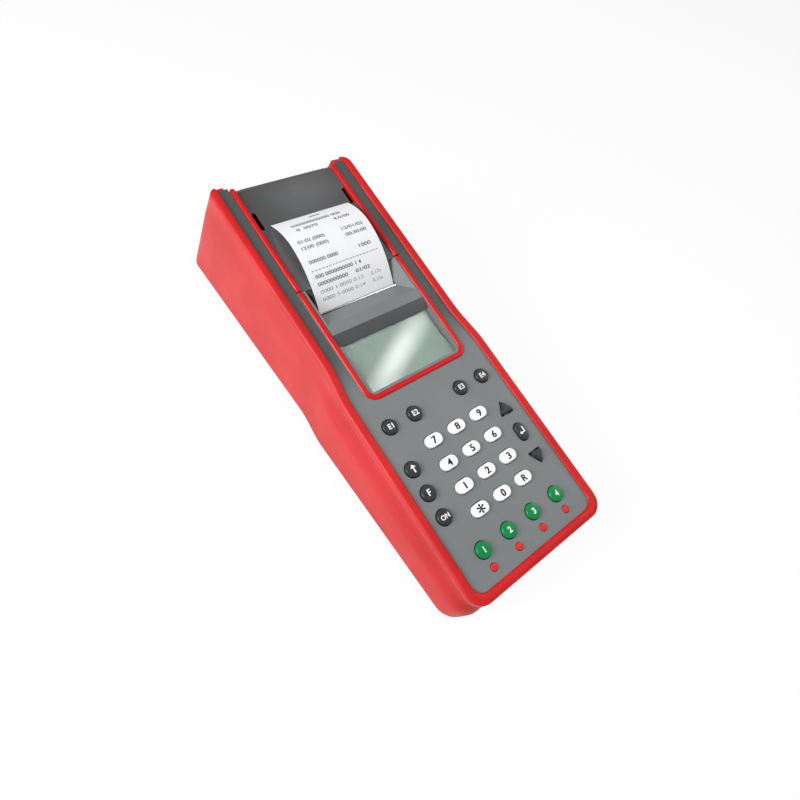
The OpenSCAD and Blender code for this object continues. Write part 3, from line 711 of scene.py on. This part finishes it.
# %% Sleeve mesh
def ring_mesh(name, rings, ends=False):
    """A closed surface through rings of points: a loop of rings, or a run with both ends filled."""
    n, last = len(rings[0]), len(rings) - 1
    points = [p for ring in rings for p in ring]
    faces = []
    for i in range(last if ends else last + 1):
        a, b = i * n, (i + 1) % len(rings) * n
        faces += [(a + k, a + (k + 1) % n, b + (k + 1) % n, b + k) for k in range(n)]
    if ends:
        faces += [tuple(range(n)), tuple(last * n + k for k in range(n))]
    return outward(mesh_object(name, points, faces))


def station_ring(place, profile):
    ring = []
    for grow, depth, height in profile:
        u, v = place(grow, depth, height)
        ring.append((u, v, resolve(v, depth, height)))
    return ring


def sleeve_rings():
    rings = [station_ring(place, sleeve_profile(v, bead)) for place, v, bead in half_ring]
    mirrored = [[(-u, v, z) for u, v, z in ring] for ring in reversed(rings[1:-1])]
    return [[panel(*p) for p in ring] for ring in rings + mirrored]


def rounded_box(name, low, high, to_row, radius):
    """A box with rounded edges, given in millimetres, placed by to_row."""
    bm = bmesh.new()
    bmesh.ops.create_cube(bm, size=1.0)
    for v in bm.verts:
        v.co = Vector([low[i] + (high[i] - low[i]) * (v.co[i] + 0.5) for i in range(3)])
    bmesh.ops.bevel(bm, geom=bm.edges[:], offset=radius, segments=4, profile=0.5, affect="EDGES")
    for v in bm.verts:
        v.co = to_row(*v.co)
    mesh = bpy.data.meshes.new(name)
    bm.to_mesh(mesh)
    bm.free()
    return link(name, mesh)


def cut(obj, cutter):
    """Takes the cutter's volume out of a closed piece."""
    modifier = obj.modifiers.new("cut", "BOOLEAN")
    modifier.operation = "DIFFERENCE"
    modifier.solver = "EXACT"
    modifier.object = cutter
    applied(obj)
    bpy.data.objects.remove(cutter)


BAY_HALF = 40.2
BAY_DROP = -9.8
RIM_END_HALF = 46.2
RIM_END_DROP = -2.4
WINDOW_HALF = 44.7
WINDOW_LOW, WINDOW_HIGH = 19.8, 55.2
CUT_START, CUT_END, CUT_TOP = PANEL_BACK - 24, PANEL_BACK + 40, 30

sleeve = ring_mesh("sleeve", sleeve_rings())
cut(sleeve, rounded_box("lid opening", (-BAY_HALF, CUT_START, BAY_DROP), (BAY_HALF, CUT_END, CUT_TOP),
                        panel, 2.5))
cut(sleeve, rounded_box("rim ends", (-RIM_END_HALF, CUT_START, RIM_END_DROP),
                        (RIM_END_HALF, CUT_END, CUT_TOP), panel, 0.6))
cut(sleeve, rounded_box("socket opening", (-WINDOW_HALF, 90, WINDOW_LOW),
                        (WINDOW_HALF, 200, WINDOW_HIGH), lambda x, y, z: Vector((x, y, z)) * MM, 4))
finished(sleeve, "sleeve", red_rubber, "case", ["rubber_sleeve"], 40)
print("sleeve faces", len(sleeve.data.polygons))

# %% [markdown]
# ## Case, lid and works
# The two case halves, the funnel in front of the paper, the lid and the parts inside keep their
# construction shapes with softened edges.

# %% Moulded pieces
SHADED_FACET_TOP = 104.3
MOULDED = {  # node: bevel in millimetres, finish
    "upper_case": (0.35, grey_case), "lower_case": (0.4, dark_case), "printer_bezel": (0.5, grey_case, 3),
    "printer_lid": (0.25, smoked_lid), "battery_door": (0.4, dark_case),
    "rear_sockets": (0.4, black_plastic), "lcd_module": (0.3, lcd_glass),
    "display_window": (0.2, window_clear), "printer_frame": (0.2, steel), "print_head": (0.3, black_plastic),
}
moulded = {node: soften(node, *how) for node, how in MOULDED.items()}
# The funnel's front facet, between its ridge and the display, takes the dark grey that paints its shade.
bezel = moulded["printer_bezel"]
bezel.data.materials.append(facet_shade_grey)
shaded_facet_end = panel(0, SHADED_FACET_TOP).dot(UP)
for polygon in bezel.data.polygons:
    if polygon.center.dot(UP) < shaded_facet_end:
        polygon.material_index = 1
print("dark faces on the funnel", sum(p.material_index for p in bezel.data.polygons))

# %% Pieces kept as they are
kept = {
    "case_screws": steel, "main_board": board_green, "keypad_mat": silicone, "head_springs": steel,
    "platen_roller": black_rubber, "platen_gear": gear_nylon, "idler_gear": gear_nylon,
    "motor_pinion": brass, "feed_motor": steel, "roll_spindle": black_plastic, "paper_roll": paper,
    "paper_web": paper, "lid_hinge_pin": steel, "battery_cells": cell_wrap, "battery_contacts": steel,
}
for name, material in kept.items():
    keep(name, material)
print("kept", len(kept))

# %% [markdown]
# ## The keys
# Each cap is a loft: one outline, given as a core shape and a radius, is repeated up the side, drawn in
# over a round shoulder and closed by a shallow crown. Stadium, round and triangle keys differ only in
# their core. The legends are thin raised print.

# %% Key caps
CORE_STEPS = 10
CAP_FOOT = -3.6
SHOULDER_STEPS = 5
CROWN_SHARES = (0.35, 0.7, 1.0)


def circle_point(middle_point, radius, angle):
    return middle_point.x + radius * math.cos(angle), middle_point.y + radius * math.sin(angle)


def rounded_outline(core, radius):
    """Points at a distance round a core, which is a point, a segment or a convex polygon."""
    corners = [Vector(c) for c in core]
    if len(corners) == 1:
        full = 4 * CORE_STEPS
        return [circle_point(corners[0], radius, 2 * math.pi * k / full) for k in range(full)]
    points = []
    for i, here in enumerate(corners):
        before, after = corners[i - 1], corners[(i + 1) % len(corners)]
        start = math.atan2(here.y - before.y, here.x - before.x) - math.pi / 2
        end = math.atan2(after.y - here.y, after.x - here.x) - math.pi / 2
        turn = (end - start) % (2 * math.pi)
        points += [circle_point(here, radius, start + turn * k / CORE_STEPS) for k in range(CORE_STEPS + 1)]
    return points


def loft_cap(name, core, radius, levels, u, v):
    """A closed cap from (inset, height) levels, centred at (u, v) on the panel."""
    rings = []
    for inset, z in levels:
        outline = rounded_outline(core, max(0.05, radius - inset))
        rings.append([panel(u + x, v + y, z) for x, y in outline])
    return ring_mesh(name, rings, ends=True)


def cap_levels(radius, rise, crown, shoulder):
    """(inset, height) up the side, over the round shoulder and across the shallow crown."""
    levels = [(0.0, CAP_FOOT), (0.0, rise - shoulder - crown)]
    for i in range(1, SHOULDER_STEPS + 1):
        a = math.pi / 2 * i / SHOULDER_STEPS
        levels.append((shoulder * (1 - math.cos(a)), rise - crown - shoulder * (1 - math.sin(a))))
    top = radius - 0.1
    for share in CROWN_SHARES:
        inset = shoulder + (top - shoulder) * share
        levels.append((inset, rise - crown + crown * math.sin(math.pi / 2 * share)))
    return levels


def triangle_core(turn, size):
    shift = size / 4 * math.sin(turn)
    return [(size * math.cos(turn + a), size * math.sin(turn + a) - shift)
            for a in (0, 2 * math.pi / 3, 4 * math.pi / 3)]


LOCK_RISE = 1.0
CROWN, TRIANGLE_CROWN = 0.12, 0.05
shapes = {  # core, radius, finish, shoulder
    "number": ([(-2.25, 0), (2.25, 0)], 3.74, white_key, 0.9),
    "round": ([(0, 0)], 4.62, dark_key, 0.9),
    "enter": ([(0, -2.5), (0, 2.5)], 3.34, dark_key, 0.9),
    "up": (triangle_core(math.pi / 2, 2.9), 1.4, dark_key, 0.8),
    "down": (triangle_core(-math.pi / 2, 2.9), 1.4, dark_key, 0.8),
    "start": ([(0, 0)], 4.8, green_key, 1.0),
    "lock": ([(0, 0)], 2.2, red_key, 0.5),
}


def shape_of(key):
    if key.startswith("start"):
        return "start"
    if key.startswith("lock"):
        return "lock"
    special = {"key_enter": "enter", "key_triangle_up": "up", "key_triangle_down": "down"}
    if key in special:
        return special[key]
    return "round" if key.split("_")[1] in ("e1", "e2", "e3", "e4", "up", "f", "on") else "number"


keys = [n for n in nodes if n.startswith(("key_", "start_key_", "lock_key_"))]
for key in keys:
    core, radius, material, shoulder = shapes[shape_of(key)]
    rise = LOCK_RISE if shape_of(key) == "lock" else KEY_RISE
    crown = CROWN if len(core) < 3 else TRIANGLE_CROWN
    cap = loft_cap(key, core, radius, cap_levels(radius, rise, crown, shoulder), *on_panel(key))
    finished(cap, key + "_cap", material, body_of[key], [key], 60)
print("keys", len(keys))

# %% [markdown]
# ## Legends
# Print on a key is ink, far thinner than anything else here. A texture could carry it, but raised text
# keeps its edge at any distance. A large text offset breaks letters with closed loops, so the bold ones
# are three copies side by side. The arrows are plain convex outlines.

# %% Key legends
PRINT_THICK = 0.05
PRINT_SINK = 0.02
COPY_STEP = 0.004


def print_mesh(name, text, size, bold):
    """Raised print as a mesh in millimetres, centred on its origin."""
    data = bpy.data.curves.new(name, "FONT")
    data.body = text
    data.size = size
    data.offset = bold
    data.extrude = PRINT_THICK
    data.align_x = "CENTER"
    data.align_y = "CENTER"
    source = bpy.data.objects.new(name, data)
    bpy.context.scene.collection.objects.link(source)
    bpy.context.view_layer.update()
    mesh = bpy.data.meshes.new_from_object(source.evaluated_get(bpy.context.evaluated_depsgraph_get()))
    bpy.data.objects.remove(source)
    return mesh


def widened(mesh, spread):
    """Makes print bolder with a copy to each side, each a hair higher than the one below."""
    bm = bmesh.new()
    for step in (-1, 1, 0):
        layer = mesh.copy()
        layer.transform(Matrix.Translation((step * spread, 0, COPY_STEP * (1 - step))))
        bm.from_mesh(layer)
        bpy.data.meshes.remove(layer)
    bm.to_mesh(mesh)
    bm.free()


def legend(key, text, size, material, bold=0.12, spread=0.0):
    mesh = print_mesh(key, text, size, bold)
    if spread:
        widened(mesh, spread)
    u, v = on_panel(key)
    x_values = [p.co.x for p in mesh.vertices]
    y_values = [p.co.y for p in mesh.vertices]
    u -= (min(x_values) + max(x_values)) / 2
    v -= (min(y_values) + max(y_values)) / 2
    for p in mesh.vertices:
        p.co = panel(u + p.co.x, v + p.co.y, KEY_RISE + p.co.z - PRINT_SINK)
    return finished(link(key, mesh), key + "_legend", material, body_of[key], ())


for digit in "0123456789":
    legend("key_" + digit, digit, 5.9, legend_black, 0.1, 0.17)
legend("key_star", "*", 12, legend_black, 0.1, 0.12)
legend("key_r", "R", 5.7, legend_black, 0.1, 0.17)
for i in range(1, 5):
    legend(f"key_e{i}", f"E{i}", 4.4, legend_white, 0.08)
    legend(f"start_key_{i}", str(i), 4.8, legend_white, 0.1)
legend("key_f", "F", 5.2, legend_white, 0.08)
legend("key_on", "ON", 3.7, legend_white, 0.08)


# %% Arrow legends
STROKE = 0.45
ARROW_SINK, ARROW_RISE = 0.08, 0.03


def flat_print(key, name, outlines):
    """Thin raised print from convex outlines in millimetres about the key's middle."""
    u, v = on_panel(key)
    points, faces = [], []
    for outline in outlines:
        start, n = len(points), len(outline)
        points += [panel(u + x, v + y, KEY_RISE - ARROW_SINK) for x, y in outline]
        points += [panel(u + x, v + y, KEY_RISE + ARROW_RISE) for x, y in outline]
        faces.append(tuple(start + k for k in reversed(range(n))))
        faces.append(tuple(start + n + k for k in range(n)))
        faces += [(start + k, start + (k + 1) % n, start + n + (k + 1) % n, start + n + k) for k in range(n)]
    obj = outward(mesh_object(name, points, faces))
    finished(obj, name, legend_white, body_of[key], ())


flat_print("key_up", "key_up_legend", [
    [(-STROKE, -2.3), (STROKE, -2.3), (STROKE, 0.9), (-STROKE, 0.9)],
    [(-1.9, 0.5), (0, 0.9), (0, 2.5)],
    [(0, 0.9), (1.9, 0.5), (0, 2.5)],
])
flat_print("key_enter", "key_enter_legend", [
    [(-1.2, -1.3), (1.8, -1.3), (1.8, -0.5), (-1.2, -0.5)],
    [(1.0, -0.5), (1.8, -0.5), (1.8, 2.6), (1.0, 2.6)],
    [(-2.4, -0.9), (-1.0, -2.1), (-1.0, 0.3)],
])

# %% [markdown]
# ## The red trim round the display
# The trim is a half-round bead. A bevelled curve would make it too, but its ends would be flat. Here the
# section is swept along a U by hand and its two ends are closed by domes, where a small gap parts it from
# the same bead on the lid.

# %% Trim
TRIM_MIDDLE = 37.1
TRIM_HALF = 1.75
TRIM_RISE = 1.2
BEAD_SHOULDER = 0.2
DOME = 0.9
TRIM_FRONT = 60.3
TRIM_CORNER = 6.0
LID_FRONT = 138.0
TRIM_END = LID_FRONT - 0.5


def trim_path():
    side = [(TRIM_MIDDLE, v) for v in (TRIM_END - 0.9, 130, 120, 110, 100, 90, 80, 72)]
    corner = []
    for i in range(9):
        a = -math.pi / 2 * i / 8
        corner.append((TRIM_MIDDLE - TRIM_CORNER + TRIM_CORNER * math.cos(a),
                       TRIM_FRONT + TRIM_CORNER + TRIM_CORNER * math.sin(a)))
    half = side + corner + [(20, TRIM_FRONT), (10, TRIM_FRONT)]
    return half + [(0, TRIM_FRONT)] + [(-u, v) for u, v in reversed(half)]


def bead_section(scale, foot=0.03):
    """Half-round section, (across, out) in millimetres, drawn in by the scale."""
    points = [(-TRIM_HALF * scale, foot), (-TRIM_HALF * scale, BEAD_SHOULDER)]
    for i in range(1, 8):
        a = math.pi * i / 8
        rise = (TRIM_RISE - BEAD_SHOULDER) * scale * math.sin(a)
        points.append((-TRIM_HALF * scale * math.cos(a), BEAD_SHOULDER + rise))
    return points + [(TRIM_HALF * scale, BEAD_SHOULDER), (TRIM_HALF * scale, foot)]


def section_ring(place, heading, outline):
    """A section stood across a heading, at a place on the panel."""
    side = Vector((heading.y, -heading.x))
    return [(place.x + side.x * s, place.y + side.y * s, z) for s, z in outline]


def dome_rings(place, heading, sign, section):
    """Three rings that draw the section in beyond an end of the path."""
    rings = []
    for k in (1, 2, 3):
        a = math.pi / 2 * k / 3
        shifted = place + heading * DOME * math.sin(a) * sign
        rings.append(section_ring(shifted, heading, section(max(0.05, math.cos(a)))))
    return rings


def sweep(name, path, section):
    """Sweeps a section along a path of (across, up) points and closes both ends with domes."""
    places = [Vector(p) for p in path]
    before, after = places[:1] + places[:-1], places[1:] + places[-1:]
    headings = [(b - a).normalized() for a, b in zip(before, after)]
    rings = dome_rings(places[0], headings[0], -1, section)[::-1]
    rings += [section_ring(p, h, section(1.0)) for p, h in zip(places, headings)]
    rings += dome_rings(places[-1], headings[-1], 1, section)
    return ring_mesh(name, [[panel(*p) for p in ring] for ring in rings], ends=True)


trim = sweep("trim", trim_path(), bead_section)
finished(trim, "display_trim_bead", red_plastic, "case", ["display_trim"], 50)
print("trim faces", len(trim.data.polygons))

# %% Lid rails
LID_FOOT = -2.55
RAIL_END = 218.2
RAIL_GAP = 0.95
RAIL_STEPS = 8


def lid_section(scale):
    return bead_section(scale, LID_FOOT)


for side, name in ((-1, "left"), (1, "right")):
    length = RAIL_END - LID_FRONT - 2 * RAIL_GAP
    path = [(side * TRIM_MIDDLE, LID_FRONT + RAIL_GAP + length * i / RAIL_STEPS)
            for i in range(RAIL_STEPS + 1)]
    finished(sweep(name, path, lid_section), f"lid_rail_{name}", red_plastic, "lid", ["lid_trim"],
             50)
print("rails end at", RAIL_END)

# %% [markdown]
# ## The paper
# The strip leaves the mouth behind the tear bar, rises over the lid's front edge and curls back down.
# Its side view is two parabolas with one crest. The print is plain digits and dots, bent onto the same
# curve.

# %% Paper strip
PAPER_WIDTH = 57.5
MOUTH = (124.8, -9.2)
CREST = (164.5, 8.0)
END = (185.5, 0.8)
SHEET = 0.12
FOOT_RUN = 14
FOOT_STEPS, REST_STEPS = 30, 40
COLUMNS = 12


def paper_height(v):
    v0, z0 = MOUTH if v < CREST[0] else END
    return CREST[1] - (CREST[1] - z0) * ((v - CREST[0]) / (v0 - CREST[0])) ** 2


paper_marks = [MOUTH[0] + FOOT_RUN * i / FOOT_STEPS for i in range(FOOT_STEPS)]
paper_marks += [MOUTH[0] + FOOT_RUN + (END[0] - MOUTH[0] - FOOT_RUN) * i / REST_STEPS
                for i in range(REST_STEPS + 1)]
arc = [0.0]
for a, b in zip(paper_marks, paper_marks[1:]):
    arc.append(arc[-1] + math.hypot(b - a, paper_height(b) - paper_height(a)))
PAPER_LENGTH = arc[-1]


def paper_point(u, s, lift):
    """A point on the strip: across, distance along it from the mouth, height off its face."""
    s = max(0.0, min(PAPER_LENGTH, s))
    i = max(k for k in range(len(arc) - 1) if arc[k] <= s)
    t = (s - arc[i]) / (arc[i + 1] - arc[i])
    v = paper_marks[i] + (paper_marks[i + 1] - paper_marks[i]) * t
    slope = math.atan2(paper_height(paper_marks[i + 1]) - paper_height(paper_marks[i]),
                       paper_marks[i + 1] - paper_marks[i])
    return panel(u, v - math.sin(slope) * lift, paper_height(v) + math.cos(slope) * lift)


def make_strip():
    """Two faces of the strip, row by row from the mouth, and a wall round their edge."""
    points, faces = [], []
    for lift in (-SHEET / 2, SHEET / 2):
        for s in arc:
            for c in range(COLUMNS + 1):
                points.append(paper_point(-PAPER_WIDTH / 2 + PAPER_WIDTH * c / COLUMNS, s, lift))
    rows, wide = len(arc), COLUMNS + 1
    top = rows * wide
    for r in range(rows - 1):
        for c in range(COLUMNS):
            a = r * wide + c
            faces.append((a, a + wide, a + wide + 1, a + 1))
            faces.append((top + a, top + a + 1, top + a + wide + 1, top + a + wide))
    rim = list(range(wide)) + [r * wide + COLUMNS for r in range(1, rows)]
    rim += [(rows - 1) * wide + c for c in reversed(range(COLUMNS))]
    rim += [r * wide for r in reversed(range(1, rows - 1))]
    for a, b in zip(rim, rim[1:] + rim[:1]):
        faces.append((a, b, top + b, top + a))
    return outward(mesh_object("strip", points, faces))


strip = make_strip()
finished(strip, "paper_strip_sheet", paper, None, ["paper_strip"])
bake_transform(strip)
print("paper length", round(PAPER_LENGTH, 1))

# %% Printed lines
PRINT_LINES = [  # line, text, left and right ends in millimetres from the middle
    (2, "0000000000", -24, -2), (2, "01/02", 4, 15), (3, "000 0000000000 1 4", -24, 10),
    (4, "....................", -25, 25), (5, "000000 0000", -24, -3), (5, "1000", 13, 22),
    (7, "12:00 (000)", -24, -5), (7, "00:30:00", 8, 24), (8, "01:02 (000)", -24, -5),
    (8, "12/01/02", 8, 24), (10, "0  0070", -19, -4), (10, "4.0/00", 8, 20),
    (11, "000000000000 000", -20, 16), (12, "***", -4, 4),
]
PALE_LINES = [
    (0, "0000 3 0000 0:14", -24, 8), (0, "0.15s", 14, 22),
    (1, "0000 1 0000 0:13", -24, 8), (1, "0.12s", 14, 22),
]
FIRST_LINE = 7.0
LINE_STEP = 4.6
TEXT_SIZE = 3.1
TEXT_BOLD = 0.05
INK_RISE, INK_SINK = 0.03, 0.02


def printed_line(index, text, left, right):
    """A line of print, stretched to its two ends and bent onto the strip."""
    mesh = print_mesh("print", text, TEXT_SIZE, TEXT_BOLD)
    low = min(p.co.x for p in mesh.vertices)
    high = max(p.co.x for p in mesh.vertices)
    for p in mesh.vertices:
        across = left + (right - left) * (p.co.x - low) / (high - low)
        lift = SHEET / 2 + (INK_RISE if p.co.z > 0 else -INK_SINK)
        p.co = paper_point(across, FIRST_LINE + index * LINE_STEP + p.co.y, lift)
    return link("print", mesh)


def print_piece(name, lines, material):
    made = [printed_line(*line) for line in lines]
    with bpy.context.temp_override(active_object=made[0], selected_editable_objects=made):
        bpy.ops.object.join()
    finished(made[0], name, material, None, ())
    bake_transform(made[0])


print_piece("paper_print", PRINT_LINES, thermal_print)
print_piece("paper_print_pale", PALE_LINES, pale_print)
print("printed runs", len(PRINT_LINES) + len(PALE_LINES))

# %% [markdown]
# ## The tear bar
# A saw edge is one tooth many times. The tooth is instanced along a line by a node tree, joined to the bar
# and made real, so the count and the pitch stay open as inputs.

# %% Tear bar
TEETH = 48
BAR_HALF = 29.3
BAR_FRONT, BAR_BACK = 122.95, 123.55
BAR_LOW, BAR_HIGH = -10.0, -8.5
TOOTH_RISE = 0.9
TOOTH_FOOT, TOOTH_TIP = 0.6, 0.25


def tooth_tree():
    """Node tree: teeth on a line of points, joined to the bar, made real and given one finish."""
    tree = bpy.data.node_groups.new("saw edge", "GeometryNodeTree")
    for name, kind, way in (("Bar", "NodeSocketGeometry", "INPUT"), ("Tooth", "NodeSocketObject", "INPUT"),
                            ("Teeth", "NodeSocketInt", "INPUT"), ("Start", "NodeSocketVector", "INPUT"),
                            ("Pitch", "NodeSocketVector", "INPUT"), ("Finish", "NodeSocketMaterial", "INPUT"),
                            ("Geometry", "NodeSocketGeometry", "OUTPUT")):
        tree.interface.new_socket(name, in_out=way, socket_type=kind)
    given, out = tree.nodes.new("NodeGroupInput"), tree.nodes.new("NodeGroupOutput")
    line, info = tree.nodes.new("GeometryNodeMeshLine"), tree.nodes.new("GeometryNodeObjectInfo")
    on_points = tree.nodes.new("GeometryNodeInstanceOnPoints")
    join, real = tree.nodes.new("GeometryNodeJoinGeometry"), tree.nodes.new("GeometryNodeRealizeInstances")
    paint = tree.nodes.new("GeometryNodeSetMaterial")
    wire = tree.links.new
    wire(given.outputs["Teeth"], line.inputs["Count"])
    wire(given.outputs["Start"], line.inputs["Start Location"])
    wire(given.outputs["Pitch"], line.inputs["Offset"])
    wire(given.outputs["Tooth"], info.inputs["Object"])
    wire(line.outputs["Mesh"], on_points.inputs["Points"])
    wire(info.outputs["Geometry"], on_points.inputs["Instance"])
    wire(on_points.outputs[0], join.inputs[0])
    wire(given.outputs["Bar"], join.inputs[0])
    wire(join.outputs[0], real.inputs[0])
    wire(real.outputs[0], paint.inputs["Geometry"])
    wire(given.outputs["Finish"], paint.inputs["Material"])
    wire(paint.outputs[0], out.inputs[0])
    return tree


def grown(obj, tree, **inputs):
    """Runs a node tree on an object with named inputs and keeps the result as plain mesh."""
    modifier = obj.modifiers.new(tree.name, "NODES")
    modifier.node_group = tree
    ids = {item.name: item.identifier for item in tree.interface.items_tree if item.item_type == "SOCKET"}
    for name, value in inputs.items():
        modifier[ids[name]] = value
    bpy.context.view_layer.update()
    return applied(obj)


def prism(name, outline, start, end):
    """A closed prism across the panel: (up, out) outline from one across value to another."""
    return ring_mesh(name, [[panel(u, v, z) for v, z in outline] for u in (start, end)], ends=True)


def make_tear_bar():
    section = [(BAR_FRONT, BAR_LOW), (BAR_BACK, BAR_LOW), (BAR_BACK, BAR_HIGH), (BAR_FRONT, BAR_HIGH)]
    bar = prism("bar", section, -BAR_HALF, BAR_HALF)
    pitch = 2 * BAR_HALF / TEETH
    corners = [(0, 0, 0), (pitch, 0, 0), (pitch, TOOTH_FOOT, 0), (0, TOOTH_FOOT, 0),
               (pitch / 2, 0, TOOTH_RISE), (pitch / 2, TOOTH_TIP, TOOTH_RISE)]
    points = [(ACROSS * x + UP * y + OUT * z) * MM for x, y, z in corners]
    faces = [(0, 3, 2, 1), (0, 1, 4), (3, 5, 2), (0, 4, 5, 3), (1, 2, 5, 4)]
    tooth = outward(mesh_object("tooth", points, faces))
    grown(bar, tooth_tree(), Tooth=tooth, Teeth=TEETH, Start=panel(-BAR_HALF, BAR_FRONT, BAR_HIGH),
          Pitch=ACROSS * pitch * MM, Finish=steel)
    bpy.data.objects.remove(tooth)
    return finished(bar, "tear_bar_saw", steel, "case", ["tear_bar"], 20)


print("tear bar faces", len(make_tear_bar().data.polygons))

# %% [markdown]
# ## The lid's front lip
# The lid's front edge turns down behind the paper and forms the back half of the mouth. It narrows with
# the funnel in front of it and stops short of the platen.

# %% Lid lip
# each point: up the panel, out of it, half the width
LIP_LINE = [(138.3, -1.6, 32.2), (134.0, -3.5, 29.6), (130.0, -6.4, 29.4), (127.8, -8.5, 28.9)]
LIP_THICK = 0.8


def make_lip():
    rings = []
    for v, z, half in LIP_LINE:
        low = z - LIP_THICK
        rings.append([panel(u, v, w) for u, w in ((-half, z), (half, z), (half, low), (-half, low))])
    return ring_mesh("lip", rings, ends=True)


# The lip reuses the dark grey that paints shade on the funnel's front facet.
lip = finished(make_lip(), "lid_lip", facet_shade_grey, "lid", (), 30)
print("lip faces", len(lip.data.polygons))

# %% [markdown]
# ## The lid's skins over the hinge ears
# The lid's top runs on over the two ears that hold its pin. A flat run and a short arc round the pin's
# axis are enough, because the arc keeps clear of the case while the lid turns.

# %% Lid skins
HINGE_V = PANEL_BACK - 4.0
HINGE_Z = -4.2
SKIN_OUT, SKIN_IN = 3.58, 3.3
SKIN_FRONT = 210.4
SKIN_TURN = math.radians(30)
SKIN_STEPS = 8
SKIN_EDGES = (30.9, 34.7)


def skin_outline():
    """The lid's top carried over the hinge ears: a flat run and an arc round the pin."""
    def arc_points(radius):
        turns = [math.pi / 2 - SKIN_TURN * k / SKIN_STEPS for k in range(SKIN_STEPS + 1)]
        return [(HINGE_V + radius * math.cos(a), HINGE_Z + radius * math.sin(a)) for a in turns]
    outer = [(SKIN_FRONT, HINGE_Z + SKIN_OUT)] + arc_points(SKIN_OUT)
    inner = [(SKIN_FRONT, HINGE_Z + SKIN_IN)] + arc_points(SKIN_IN)
    return outer + inner[::-1]


for side, name in ((-1, "left"), (1, "right")):
    skin = prism(name, skin_outline(), *sorted(side * edge for edge in SKIN_EDGES))
    finished(skin, f"lid_skin_{name}", smoked_lid, "lid", (), 40)
print("skins", SKIN_EDGES)
